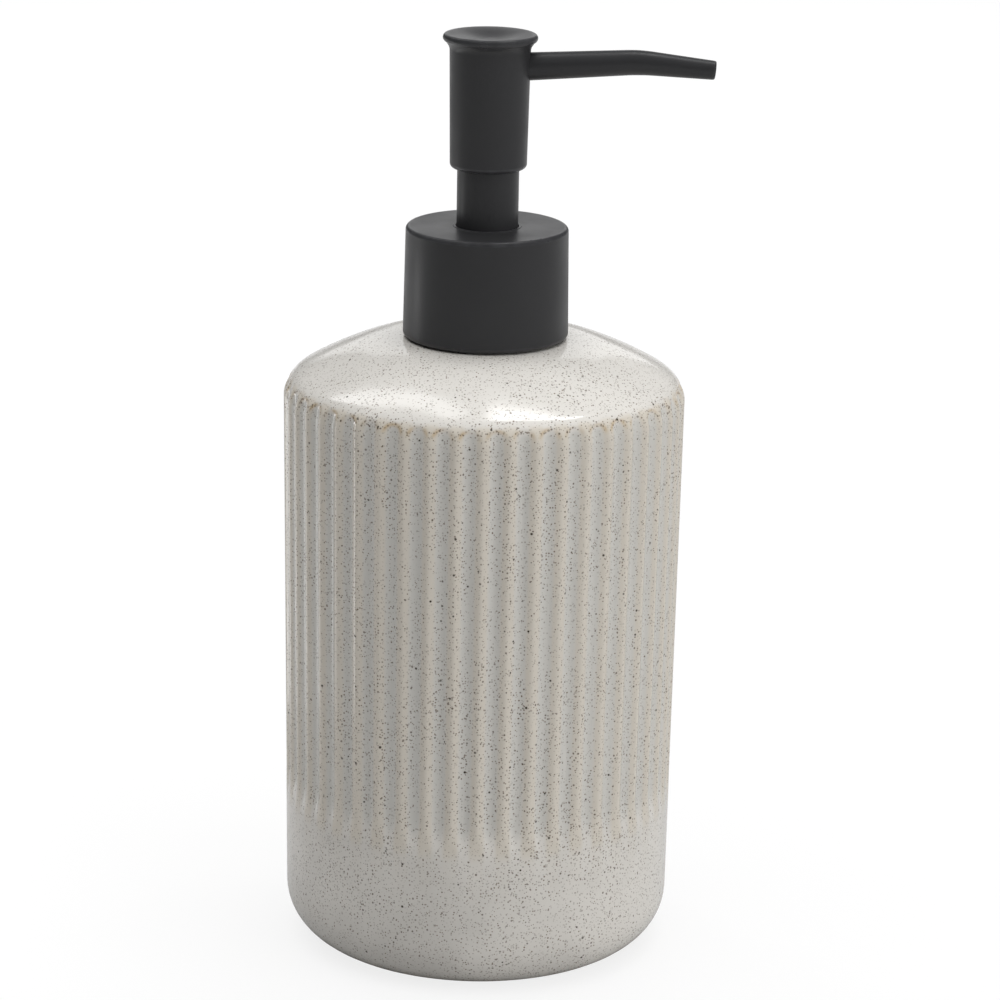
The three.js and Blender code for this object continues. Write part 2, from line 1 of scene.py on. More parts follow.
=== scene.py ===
"""Soap pump dispenser: a fluted, speckled stoneware bottle with a matte black pump.

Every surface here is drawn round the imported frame, in metres, with +Z up and the nozzle along
+X. The bottle stands on z = 0. Heights and radii come from the frame's boxes where they can,
and from the settings below where the frame has no number for them.
"""
import math

import bpy
import numpy as np
from bpy.props import FloatProperty, FloatVectorProperty, IntProperty, PointerProperty
from mathutils import Matrix, Vector


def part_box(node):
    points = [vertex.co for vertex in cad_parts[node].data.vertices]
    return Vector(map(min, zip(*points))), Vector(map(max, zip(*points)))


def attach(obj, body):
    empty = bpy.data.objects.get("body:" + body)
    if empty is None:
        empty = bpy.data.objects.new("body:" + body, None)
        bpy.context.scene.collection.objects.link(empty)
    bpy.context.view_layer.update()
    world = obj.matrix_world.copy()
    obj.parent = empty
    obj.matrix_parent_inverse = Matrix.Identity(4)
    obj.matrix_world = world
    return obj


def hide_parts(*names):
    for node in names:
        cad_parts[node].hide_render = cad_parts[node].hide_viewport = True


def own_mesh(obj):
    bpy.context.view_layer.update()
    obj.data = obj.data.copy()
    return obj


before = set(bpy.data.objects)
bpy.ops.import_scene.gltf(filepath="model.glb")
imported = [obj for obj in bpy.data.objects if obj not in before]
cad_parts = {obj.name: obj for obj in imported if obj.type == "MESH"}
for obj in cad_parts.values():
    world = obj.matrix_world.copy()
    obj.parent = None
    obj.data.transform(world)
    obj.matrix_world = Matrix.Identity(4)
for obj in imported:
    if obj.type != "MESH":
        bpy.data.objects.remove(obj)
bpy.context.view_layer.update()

bl_info = {
    "name": "Soap Pump Dispenser",
    "version": (1, 0, 0),
    "blender": (4, 5, 0),
    "location": "3D View > Sidebar > Dispenser",
    "description": "Builds a fluted stoneware soap dispenser round its packed frame",
    "category": "Add Mesh",
}

MM = 0.001


# ---------------- sizes and colours

def length(name, description, millimetres):
    """A length setting, given in millimetres and kept in metres."""
    return FloatProperty(
        name=name, description=description, default=millimetres * MM, min=0.0, unit="LENGTH"
    )


def angle(name, description, degrees):
    """An angle setting, given in degrees and kept in radians."""
    return FloatProperty(
        name=name, description=description, default=math.radians(degrees), unit="ROTATION"
    )


def colour(name, description, red, green, blue):
    """A colour setting in linear red, green and blue."""
    return FloatVectorProperty(
        name=name, description=description, default=(red, green, blue),
        min=0.0, max=1.0, size=3, subtype="COLOR",
    )


def share(name, description, value, highest=1.0):
    """A setting without a unit, from nought up."""
    return FloatProperty(
        name=name, description=description, default=value, min=0.0, max=highest
    )


class BottleSettings(bpy.types.PropertyGroup):
    """Shape and glaze of the stoneware bottle."""

    flutes: IntProperty(name="Flutes", description="Grooves round the bottle", default=48, min=3)
    flute_columns: IntProperty(
        name="Columns per flute", description="Mesh columns across one groove", default=14, min=6
    )
    flute_depth: length("Flute depth", "Depth of a groove below its ridges", 0.85)
    flute_bottom: length("Flute bottom", "Height at which the grooves begin to fade", 35.5)
    flute_fade: length("Flute fade", "Height over which a groove runs out", 7.0)
    flute_top: length("Flute top", "Way past the shoulder's start where a round end begins", 1.7)
    flute_crown: length("Flute crown", "Way over which a round end runs out", 2.7)
    top_radius: length("Top radius", "Radius at the shoulder", 38.6)
    base_radius: length("Base radius", "Radius above the rounded base", 37.7)
    base_round: length("Base round", "Rounding of the base", 10.0)
    shoulder_height: length("Shoulder height", "Height where the shoulder begins", 108.8)
    shoulder_round: length("Shoulder round", "Rounding of the shoulder's edge", 6.0)
    dome_radius: length("Dome radius", "Radius of the spherical shoulder", 70.0)
    crown_start: length("Crown start", "Radius inside which the dome levels off", 24.0)
    crown_round: length("Crown round", "Rounding between the dome and the flat land", 25.0)
    wall: length("Wall", "Thickness of the stoneware", 4.2)
    floor: length("Floor", "Height of the inside floor", 5.0)
    foot_recess: length("Foot recess", "Depth of the hollow inside the foot ring", 1.0)
    neck_radius: length("Neck radius", "Outside of the neck", 13.2)
    neck_bore: length("Neck bore", "Inside of the neck", 10.6)
    plain_glaze: colour("Plain glaze", "Glaze on the dome and the lower band", 0.64, 0.614, 0.572)
    # Painted light: the dome's glaze colour is made lighter to stand in for the overhead light that
    # falls on the dome.
    dome_lit_glaze: colour("Dome glaze", "Thick white glaze over the shoulder", 0.69, 0.668, 0.63)
    ridge_glaze: colour("Ridge glaze", "Thin warm glaze on the ridges", 0.618, 0.570, 0.495)
    groove_glaze: colour("Groove glaze", "Thick cool glaze in the grooves", 0.578, 0.564, 0.527)
    amber_glaze: colour("Amber glaze", "Glaze that breaks at the round ends", 0.50, 0.34, 0.14)
    clay: colour("Clay", "Bare clay of the foot ring", 0.42, 0.31, 0.21)
    speck: colour("Speck", "Iron specks in the glaze", 0.085, 0.056, 0.034)
    speck_amount: share("Speck amount", "Scale of the specks' size", 1.0, 2.0)
    gloss: share("Glaze roughness", "Roughness of the fired glaze", 0.12)


class PumpSettings(bpy.types.PropertyGroup):
    """Roundings and finishes of the pump."""

    collar_edge: length("Collar edge", "Rounding of the collar's top edge", 0.8)
    collar_foot: length("Collar foot", "Rounding of the collar's lower edge", 0.8)
    collar_taper: length("Collar taper", "How much narrower the collar is at its top", 0.35)
    collar_wall: length("Collar wall", "Thickness of the collar", 1.4)
    deck: length("Deck", "Thickness of the collar's top plate", 1.2)
    head_skirt: length("Head skirt", "Radius of the head's lower edge", 7.3)
    head_body: length("Head body", "Radius of the head under its rim", 7.65)
    head_bore: length("Head bore", "Inside radius of the head", 6.2)
    head_edge: length("Head edge", "Rounding of the head's lower edge", 0.9)
    rim_lip: length("Rim lip", "Thickness of the rim's rounded lip", 1.5)
    rim_hollow: length("Rim hollow", "Radius of the hollow under the rim", 1.8)
    dish: length("Dish", "Depth of the thumb dish", 1.1)
    crown: length("Crown", "Thickness of the head's top, dish included", 2.2)
    nozzle_drop: length("Nozzle drop", "Height of the rim above the nozzle's root", 6.5)
    nozzle_bend: length("Nozzle bend", "Reach at which the nozzle bends", 28.0)
    nozzle_rise: angle("Nozzle rise", "Slope of the nozzle before its bend", 3.2)
    nozzle_fall: angle("Nozzle fall", "Slope of the nozzle after its bend", 5.2)
    nozzle_root_radius: length("Nozzle root radius", "Radius where the nozzle starts", 2.75)
    nozzle_bend_radius: length("Nozzle bend radius", "Radius at the bend", 2.35)
    nozzle_tip_radius: length("Nozzle tip radius", "Radius at the tip", 1.78)
    nozzle_bore: share("Nozzle bore", "Bore as a share of the nozzle's radius", 0.62)
    wire: length("Wire", "Radius of the spring's wire", 0.45)
    coils: share("Coils", "Turns of the return spring", 6.5, 40.0)
    spring_keep: share("Spring keep", "Share of the spring's length left at full stroke", 0.418)
    black: colour("Black plastic", "Colour of the visible pump", 0.029, 0.029, 0.0305)
    # Partly painted highlight: this lighter, bluish edge colour stands in for the shine on rounded
    # edges as well as for wear.
    rubbed_and_sheen: colour("Rubbed black", "Colour of the plastic's handled edges", 0.044, 0.044, 0.047)
    natural: colour("Natural plastic", "Colour of the pump's engine", 0.80, 0.80, 0.765)
    silicone: colour("Silicone", "Colour of the soft rings", 0.68, 0.68, 0.66)
    stainless: colour("Stainless", "Colour of the spring and ball", 0.62, 0.63, 0.64)


class StageSettings(bpy.types.PropertyGroup):
    """Floor, lights and camera."""

    floor_colour: colour("Floor", "Pale floor", 0.97, 0.97, 0.97)
    floor_size: length("Floor size", "Side of the floor", 12000.0)
    lens: FloatProperty(
        name="Lens", description="Focal length for a 36 mm sensor", default=135.3, unit="CAMERA"
    )
    distance: length("Distance", "From the camera to its target", 728.0)
    target_height: length("Target height", "Height of the camera's target", 93.6)
    elevation: angle("Elevation", "Camera above the horizon", 16.09)
    roll: angle("Roll", "Camera turned about its own axis", 1.0)
    turn_right: angle("Turn right", "Camera turned away from the target", 0.26)
    turn_down: angle("Turn down", "Camera lowered from the target", 0.4094)
    sky: share("Sky", "Strength of the even light from all round", 0.13, 10.0)
    overhead: share("Overhead", "Strength of the soft overhead light", 2.65, 50.0)
    key: share("Key", "Strength of the soft light from the right", 1.40, 50.0)
    floor_glow: share("Floor glow", "Share of the floor's white that takes no shadow", 0.85)
    floor_bounce: share("Floor bounce", "Share of its colour with which the floor lights", 0.55)


def settings(name):
    """The named group of settings on the scene."""
    return getattr(bpy.context.scene, "dispenser_" + name)


# ---------------- outlines and surfaces

def arc(centre_radius, centre_height, radius, first, last, count):
    """Points on a circle in the (radius, height) plane, from one angle to another in degrees."""
    turn = np.radians(np.linspace(first, last, count))
    across = centre_radius + radius * np.cos(turn)
    up = centre_height + radius * np.sin(turn)
    return np.stack([across, up], axis=1)


def rounded(corners, closed=True, steps=6, guard=0.08 * MM):
    """An outline through corners of (radius, height, rounding), and how much each point is edge.

    At each corner the two sides are left at the rounding over the tangent of half the corner's
    angle, and a circle arc joins them. A guard point on each side keeps the flats flat.
    """
    table = np.array(corners, float)
    points, edges = [], []
    count = len(table)
    for i in range(count):
        corner, rounding = table[i, :2], table[i, 2]
        if not closed and i in (0, count - 1):
            points.append(corner[None])
            edges.append([0.0])
            continue
        back = table[i - 1, :2] - corner
        ahead = table[(i + 1) % count, :2] - corner
        room = min(np.linalg.norm(back), np.linalg.norm(ahead))
        back /= np.linalg.norm(back)
        ahead /= np.linalg.norm(ahead)
        half = 0.5 * math.acos(float(np.clip(back @ ahead, -1.0, 1.0)))
        reach = rounding / math.tan(half)
        middle = back + ahead
        middle /= np.linalg.norm(middle)
        centre = corner + middle * rounding / math.sin(half)
        start, end = corner + back * reach - centre, corner + ahead * reach - centre
        sweep = math.pi - 2 * half
        way = np.linspace(0.0, 1.0, steps if rounding > 0 else 1)[:, None]
        if rounding > 0:
            turned = (np.sin((1 - way) * sweep) * start + np.sin(way * sweep) * end)
            curve = centre + turned / math.sin(sweep)
        else:
            curve = corner[None]
        beside = min(guard, 0.3 * max(room - reach, 0.0))
        points.append(np.vstack([
            corner + back * (reach + beside), curve, corner + ahead * (reach + beside)
        ]))
        edges.append([0.0] + [1.0] * len(curve) + [0.0])
    return np.vstack(points), np.concatenate(edges)


def surface(name, grid, closed_rows=False, values=None):
    """A mesh object from a grid of points whose columns close into a ring.

    Point (i, j) joins (i, j + 1), (i + 1, j + 1) and (i + 1, j) in a face. A row whose points
    all fall together becomes one point, so a pole is closed by triangles. values holds grids
    of one number per point, kept as attributes of the mesh.
    """
    rows, columns = grid.shape[:2]
    pole = np.ptp(grid, axis=1).max(axis=1) < 1e-9
    starts = np.concatenate([[0], np.cumsum(np.where(pole, 1, columns))[:-1]])
    index = starts[:, None] + np.where(pole[:, None], 0, np.arange(columns))
    kept = ~pole[:, None] | (np.arange(columns) == 0)
    upper = np.roll(index, -1, axis=0)
    last = rows if closed_rows else rows - 1
    lower, upper = index[:last], upper[:last]
    faces = np.stack(
        [lower, np.roll(lower, -1, axis=1), np.roll(upper, -1, axis=1), upper], axis=-1
    ).reshape(-1, 4)
    shut_below = faces[:, 0] == faces[:, 1]
    shut_above = faces[:, 2] == faces[:, 3]
    quads = faces[~shut_below & ~shut_above]
    triangles = np.vstack([
        faces[shut_below & ~shut_above][:, [0, 2, 3]], faces[shut_above & ~shut_below][:, :3]
    ])
    mesh = bpy.data.meshes.new(name)
    mesh.from_pydata(grid[kept], [], quads.tolist() + triangles.tolist())
    mesh.shade_smooth()
    for label, numbers in (values or {}).items():
        attribute = mesh.attributes.new(label, "FLOAT", "POINT")
        attribute.data.foreach_set("value", numbers[kept].astype(np.float32))
    if mesh.validate():
        raise RuntimeError(f"the surface of {name} has bad faces")
    piece = bpy.data.objects.new(name, mesh)
    bpy.context.scene.collection.objects.link(piece)
    return piece


def full_turn(columns):
    """Evenly spaced angles round a full turn."""
    return np.linspace(0.0, 2 * math.pi, columns, endpoint=False)


def carried(radius, height, around):
    """A grid of points at a radius and height each, at angles round Z."""
    return np.stack(
        [radius * np.cos(around), radius * np.sin(around), height + 0 * around], axis=-1
    )


def turned(name, outline, edges, columns):
    """A solid of revolution: each outline point (radius, height) is carried round Z."""
    around = full_turn(columns)
    grid = carried(outline[:, :1], outline[:, 1:], around)
    return surface(name, grid, True, {"edge": edges[:, None] + 0 * around})


def scaled(tint, factor):
    """A colour made lighter or darker by a factor, never past white."""
    return tuple(min(1.0, factor * c) for c in tint)


def smoothstep(low, high, value):
    """Nought below low, one above high, and a smooth rise between them."""
    way = np.clip((value - low) / (high - low), 0.0, 1.0)
    return way * way * (3 - 2 * way)


def settle(piece, body, slot, *nodes):
    """Gives a finished piece its finish, its body, its material slot and the nodes it replaces."""
    piece.data.materials.append(finish_for(slot))
    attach(piece, body)
    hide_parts(*nodes)
    return piece


# ---------------- finishes

# The middle range of a noise, which mottle spreads out.
MOTTLE = (0.3, 0.7)
# Distances over a speck's radius at which it ends and at which it is full.
SPECK_RIM, SPECK_CORE = 1.15, 0.55


class Nodes:
    """The node tree of a material or a world, emptied and built up node by node."""

    def __init__(self, owner):
        owner.use_nodes = True
        self.tree = owner.node_tree
        self.tree.nodes.clear()

    def add(self, kind, inputs=None, **properties):
        """Adds a node, sets its properties, and links or sets each named or numbered input."""
        node = self.tree.nodes.new(kind)
        for key, value in properties.items():
            setattr(node, key, value)
        for key, value in (inputs or {}).items():
            if isinstance(value, bpy.types.NodeSocket):
                self.tree.links.new(value, node.inputs[key])
            else:
                node.inputs[key].default_value = value
        return node


class Finish(Nodes):
    """A material under construction, whose steps hand back the sockets to go on from."""

    def __init__(self, name):
        self.material = bpy.data.materials.new(name)
        super().__init__(self.material)
        self.place = self.add("ShaderNodeTexCoord").outputs["Object"]

    def noise(self, scale, detail, roughness=0.5, place=None):
        """Smooth noise with features about one over scale metres across."""
        return self.add("ShaderNodeTexNoise", {
            "Vector": place or self.place, "Scale": scale, "Detail": detail,
            "Roughness": roughness,
        }).outputs["Fac"]

    def ramp(self, value, from_low, from_high, to_low=0.0, to_high=1.0, soft=True):
        """Maps a value's range to another range, smoothly unless soft is false, and clamps it."""
        return self.add("ShaderNodeMapRange", {
            "Value": value, "From Min": from_low, "From Max": from_high,
            "To Min": to_low, "To Max": to_high,
        }, interpolation_type="SMOOTHSTEP" if soft else "LINEAR").outputs["Result"]

    def maths(self, operation, first, second):
        """One arithmetic step on two values."""
        return self.add("ShaderNodeMath", {0: first, 1: second}, operation=operation).outputs[0]

    def plus(self, first, second):
        """The sum of two values."""
        return self.maths("ADD", first, second)

    def times(self, first, second):
        """The product of two values."""
        return self.maths("MULTIPLY", first, second)

    def mix(self, factor, first, second):
        """Mixes two colours by a factor."""
        first, second = (
            tint if isinstance(tint, bpy.types.NodeSocket) else (*tint, 1.0)
            for tint in (first, second)
        )
        return self.add(
            "ShaderNodeMix", {0: factor, 6: first, 7: second}, data_type="RGBA"
        ).outputs[2]

    def mottle(self, scale, detail, low, high):
        """Smooth noise whose middle range is spread from low to high."""
        return self.ramp(self.noise(scale, detail), *MOTTLE, low, high)

    def attribute(self, name):
        """A number kept on the mesh."""
        return self.add("ShaderNodeAttribute", attribute_name=name).outputs["Fac"]

    def stretched(self, across, along):
        """Object coordinates scaled across X and Y and along Z."""
        return self.add("ShaderNodeMapping", {
            "Vector": self.place, "Scale": (across, across, along)
        }).outputs["Vector"]

    def specks(self, spacing, smallest, largest, grow):
        """Round specks in cells of one spacing, with a radius of their own in each cell.

        A speck is where the distance to the cell's point is less than its radius. The radius
        lies between smallest and largest in metres, by the cell's random number, times grow.
        Returns the mask and the cell's random number.
        """
        cells = self.add("ShaderNodeTexVoronoi", {
            "Vector": self.place, "Scale": 1.0 / spacing
        }, feature="F1")
        chance = self.add("ShaderNodeSeparateColor", {"Color": cells.outputs["Color"]})
        radius = self.ramp(
            chance.outputs["Red"], 0.0, 1.0, smallest / spacing, largest / spacing, soft=False
        )
        radius = self.times(radius, grow)
        gap = self.maths("DIVIDE", cells.outputs["Distance"], radius)
        return self.ramp(gap, SPECK_RIM, SPECK_CORE), chance.outputs["Green"]

    def bump(self, height, strength, distance, normal=None):
        """A small relief from a height value."""
        inputs = {"Height": height, "Strength": strength, "Distance": distance}
        if normal is not None:
            inputs["Normal"] = normal
        return self.add("ShaderNodeBump", inputs).outputs["Normal"]

    def done(self, base, rough, normal, **steady):
        """Finishes with the surface shader, whose steady values are set on its own sockets."""
        inputs = {"Base Color": base, "Roughness": rough, "Normal": normal}
        inputs.update({key.replace("_", " "): value for key, value in steady.items()})
        shader = self.add("ShaderNodeBsdfPrincipled", inputs)
        self.add("ShaderNodeOutputMaterial", {"Surface": shader.outputs["BSDF"]})
        return self.material


# Faint, brown and dark specks: cell spacing, smallest and largest radius in mm, then the share of
# their colour in the palest and the strongest of them.
SPECKS = (
    (0.50, 0.08, 0.19, 0.35, 1.0),
    (0.70, 0.06, 0.235, 0.30, 0.85),
    (2.3, 0.12, 0.30, 0.75, 1.0),
)


def stoneware_finish(look):
    """Glossy speckled glaze: warm on ridges, cool in grooves, amber where it breaks, and painted
    lighter over the dome to stand in for the light from above.
    """
    make = Finish("speckled_stoneware")
    ridge = make.attribute("ridge")
    groove = make.attribute("groove")
    broken = make.attribute("broken")
    height = make.add("ShaderNodeSeparateXYZ", {"Vector": make.place}).outputs["Z"]

    drift = make.noise(45.0, 3.0)
    streak = make.noise(1.0, 4.0, 0.6, place=make.stretched(900.0, 35.0))
    milky = scaled(look.plain_glaze, 1.07)
    greyer = scaled(look.plain_glaze, 0.93)
    base = make.mix(make.ramp(drift, 0.35, 0.65), greyer, milky)
    # Painted light: over the dome the glaze is mixed towards a lighter colour, standing in for the
    # light from above.
    dome_light_share = make.ramp(height, look.shoulder_height, look.shoulder_height + 6 * MM, 0.0, 0.75)
    base = make.mix(dome_light_share, base, look.dome_lit_glaze)
    base = make.mix(make.times(ridge, 0.95), base, look.ridge_glaze)
    base = make.mix(make.times(groove, 0.95), base, look.groove_glaze)
    pale_streak = make.times(groove, make.ramp(streak, 0.52, 0.72, 0.0, 0.35))
    base = make.mix(pale_streak, base, milky)

    patches = make.noise(230.0, 2.0)
    amber_share = make.times(broken, make.ramp(patches, 0.38, 0.64, 0.06, 0.62))
    base = make.mix(amber_share, base, look.amber_glaze)
    foot_line = make.plus(height, make.mottle(160.0, 2.0, -0.25 * MM, 0.25 * MM))
    base = make.mix(make.ramp(foot_line, 1.6 * MM, 0.55 * MM, 0.0, 0.75), base, look.amber_glaze)

    crowd = make.mottle(70.0, 2.0, 0.88, 1.12)
    crowd = make.times(crowd, look.speck_amount)
    crowd = make.plus(crowd, make.times(broken, 0.5))
    shares = []
    for spacing, smallest, largest, palest, darkest in SPECKS:
        mask, chance = make.specks(spacing * MM, smallest * MM, largest * MM, crowd)
        shares.append(make.times(mask, make.ramp(chance, 0.0, 1.0, palest, darkest)))
    faint_share, brown_share, dark_share = shares
    faint_colour = tuple(1.6 * c + 0.05 for c in look.speck)
    base = make.mix(faint_share, base, faint_colour)
    base = make.mix(brown_share, base, look.speck)
    base = make.mix(dark_share, base, scaled(look.speck, 0.5))

    bare = make.ramp(foot_line, 0.5 * MM, 0.3 * MM)
    clay_grain = make.noise(2500.0, 4.0, 0.7)
    clay = make.mix(clay_grain, scaled(look.clay, 0.8), scaled(look.clay, 1.15))
    base = make.mix(bare, base, clay)

    rough = make.mottle(120.0, 3.0, look.gloss * 0.8, look.gloss * 1.35)
    rough = make.plus(rough, make.times(groove, 0.06))
    rough = make.plus(rough, make.times(brown_share, 0.12))
    rough = make.plus(rough, make.times(bare, 0.6))

    swell = make.bump(make.noise(75.0, 1.0), 1.0, 0.10 * MM)
    peel = make.bump(make.noise(520.0, 2.0), 1.0, 0.006 * MM, swell)
    pits = make.times(make.maths("MAXIMUM", brown_share, dark_share), -1.0)
    pitted = make.bump(pits, 0.7, 0.02 * MM, peel)
    grain = make.bump(make.times(clay_grain, bare), 1.0, 0.06 * MM, pitted)
    return make.done(base, rough, grain, IOR=1.52)


def black_finish(look):
    """Matte black plastic: fine moulded grain, handled edges a little lighter and smoother, the
    lighter colour partly wear and partly a painted edge highlight.
    """
    make = Finish("matte_black_plastic")
    edge = make.attribute("edge")
    # Partly painted highlight: rounded edges are made lighter and bluish, standing in for edge
    # shine as well as wear.
    wear_and_sheen = make.times(edge, make.ramp(make.noise(420.0, 3.0), 0.35, 0.7, 0.35, 1.0))
    deep = scaled(look.black, 0.9)
    base = make.mix(make.noise(60.0, 3.0), deep, scaled(look.black, 1.12))
    base = make.mix(wear_and_sheen, base, look.rubbed_and_sheen)
    dust = make.ramp(make.noise(1700.0, 4.0, 0.75), 0.66, 0.80, 0.0, 0.10)
    base = make.mix(dust, base, (0.12, 0.12, 0.125))
    rough = make.mottle(95.0, 3.0, 0.33, 0.41)
    rough = make.maths("SUBTRACT", rough, make.times(wear_and_sheen, 0.08))
    grain = make.bump(make.noise(5200.0, 3.0, 0.6), 0.6, 0.012 * MM)
    return make.done(base, rough, grain, IOR=1.47, Specular_IOR_Level=0.33)


def natural_finish(look):
    """Milky unpainted plastic: faint flow marks, soft sheen, and edges painted lighter as a
    highlight and made smoother.
    """
    make = Finish("natural_plastic")
    edge = make.attribute("edge")
    flow = make.noise(1.0, 3.0, 0.5, place=make.stretched(160.0, 45.0))
    dim = scaled(look.natural, 0.93)
    base = make.mix(flow, dim, scaled(look.natural, 1.05))
    # Painted highlight: rounded edges are mixed towards a lighter colour.
    base = make.mix(make.times(edge, 0.35), base, (0.90, 0.90, 0.87))
    rough = make.mottle(210.0, 2.0, 0.30, 0.42)
    rough = make.maths("SUBTRACT", rough, make.times(edge, 0.06))
    relief = make.bump(make.noise(1900.0, 2.0), 0.5, 0.010 * MM)
    return make.done(base, rough, relief, IOR=1.49, Subsurface_Weight=0.12,
                     Subsurface_Scale=0.0015)


def silicone_finish(look):
    """Soft grey rubber with a dusty, even surface."""
    make = Finish("soft_silicone")
    cloud = make.noise(260.0, 3.0)
    dim = scaled(look.silicone, 0.9)
    base = make.mix(cloud, dim, scaled(look.silicone, 1.06))
    specks = make.ramp(make.noise(2600.0, 3.0, 0.7), 0.62, 0.78, 0.0, 0.25)
    base = make.mix(specks, base, (0.42, 0.42, 0.41))
    rough = make.ramp(cloud, *MOTTLE, 0.55, 0.70)
    relief = make.bump(make.noise(3400.0, 2.0), 0.5, 0.015 * MM)
    return make.done(base, rough, relief, IOR=1.43)


def stainless_finish(look):
    """Drawn and polished steel: fine lines, slight stain, bright edges."""
    make = Finish("polished_stainless")
    lines = make.noise(1.0, 3.0, 0.6, place=make.stretched(350.0, 5200.0))
    stain = make.noise(300.0, 2.0)
    dim = scaled(look.stainless, 0.86)
    base = make.mix(stain, dim, scaled(look.stainless, 1.1))
    rough = make.ramp(lines, *MOTTLE, 0.20, 0.34)
    relief = make.bump(lines, 0.35, 0.004 * MM)
    return make.done(base, rough, relief, Metallic=1.0)


FINISHES = {
    "stoneware": (stoneware_finish, "bottle"),
    "black_plastic": (black_finish, "pump"),
    "natural_plastic": (natural_finish, "pump"),
    "silicone": (silicone_finish, "pump"),
    "stainless": (stainless_finish, "pump"),
}
made_finishes = {}


def finish_for(slot):
    """The finish of a material slot, made the first time it is asked for."""
    if slot not in made_finishes:
        maker, group = FINISHES[slot]
        made_finishes[slot] = maker(settings(group))
    return made_finishes[slot]


# ---------------- bottle

# The underside from its middle to the foot ring: radius over the foot's, height over the recess's.
UNDERSIDE = (
    (0.0, 1.0), (0.6, 1.0), (0.87, 0.97), (0.915, 0.75), (0.945, 0.18), (0.965, 0.0)
)
GROOVE_POWER = 0.85
# A groove distance that no groove reaches, for points that aren't on the outside.
NO_GROOVE = 9.0
# Groove distances between which the groove's glaze ends, and the ridge's begins and ends.
GROOVE_GLAZE, RIDGE_GLAZE, RIDGE_END = (0.26, 0.66), (0.28, 0.62), (0.75, 1.3)
# The groove distance at which the glaze breaks, and the width of that line.
BREAK_AT, BREAK_WIDTH = 0.78, 0.13


def bottle_outline(look):
    """The bottle's closed outline in (radius, height), from the middle of its underside, up the
    outside, over the neck's lip and down the inside to the middle of its floor.

    Returns the points, the way along the outline measured from the shoulder's start, and the
    count of the first points that lie on the fluted outside.
    """
    edge_radius = look.top_radius - look.shoulder_round
    inner_dome = look.dome_radius - look.wall
    tangent = math.degrees(math.acos(edge_radius / (look.dome_radius - look.shoulder_round)))
    dome_height = look.shoulder_height - edge_radius * math.tan(math.radians(tangent))
    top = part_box("bottle")[1].z
    foot = look.base_radius - look.base_round

    def dome(radius, first, last, count):
        """Part of a dome about the axis, between two distances from the axis."""
        ends = [math.degrees(math.acos(reach / radius)) for reach in (first, last)]
        return arc(0.0, dome_height, radius, *ends, count)

    under = np.array(UNDERSIDE) * (foot, look.foot_recess)
    base = arc(foot, look.base_round, look.base_round, -90, 0, 14)
    lean = (look.top_radius - look.base_radius) / (look.shoulder_height - look.base_round)
    levels = np.concatenate([
        np.array([13.0, 18.0]) * MM,
        np.linspace(look.flute_bottom - 1.15 * look.flute_fade, look.flute_bottom + 4 * MM, 17),
        np.linspace(look.flute_bottom + 9 * MM, look.shoulder_height - 6.5 * MM, 7),
        np.linspace(look.shoulder_height - 5 * MM, look.shoulder_height - 0.4 * MM, 9),
    ])
    side = np.stack([look.base_radius + lean * (levels - look.base_round), levels], axis=1)
    shoulder = arc(edge_radius, look.shoulder_height, look.shoulder_round, 0, tangent, 19)
    near = dome(look.dome_radius, shoulder[-1, 0] - 0.4 * MM, shoulder[-1, 0] - 2.2 * MM, 5)
    far = dome(look.dome_radius, near[-1, 0] - 2 * MM, look.crown_start + 0.5 * MM, 6)
    tilt = math.asin(look.crown_start / look.dome_radius)
    crown_radius = look.crown_start - look.crown_round * math.sin(tilt)
    crown_height = dome_height + (look.dome_radius - look.crown_round) * math.cos(tilt)
    crown = arc(
        crown_radius, crown_height, look.crown_round, 90 - math.degrees(tilt), 90, 9
    )
    neck_foot = (look.neck_radius, crown[-1, 1])
    bore_foot = dome(inner_dome, look.neck_bore, look.neck_bore - 1 * MM, 2)[0]
    neck, _ = rounded([
        (*crown[-1], 0.0),
        (*neck_foot, 1.0 * MM),
        (look.neck_radius, top, 0.8 * MM),
        (look.neck_bore, top, 0.8 * MM),
        (*bore_foot, 1.2 * MM),
        (bore_foot[0] + 3 * MM, bore_foot[1] - 0.4 * MM, 0.0),
    ], closed=False, steps=5)
    inner_edge = edge_radius - 0.5 * look.wall
    ceiling = dome(inner_dome, look.neck_bore + 4 * MM, inner_edge, 6)
    wall_top = (look.top_radius - look.wall, look.shoulder_height - 3 * MM)
    bend = arc(wall_top[0] - 3 * MM, wall_top[1], 3 * MM, 55, 0, 5)
    cup = look.base_round - look.wall
    well = arc(foot, look.floor + cup, cup, 0, -90, 7)
    middle = np.array([(0.0, look.floor)])
    points = np.vstack([
        under, base, side, shoulder, near, far, crown, neck[1:-1], ceiling, bend, well, middle
    ])
    along = np.concatenate([[0], np.cumsum(np.linalg.norm(np.diff(points, axis=0), axis=1))])
    start = len(under) + len(base) + len(side)
    outside = start + len(shoulder) + len(near) + len(far)
    return points, along - along[start], outside


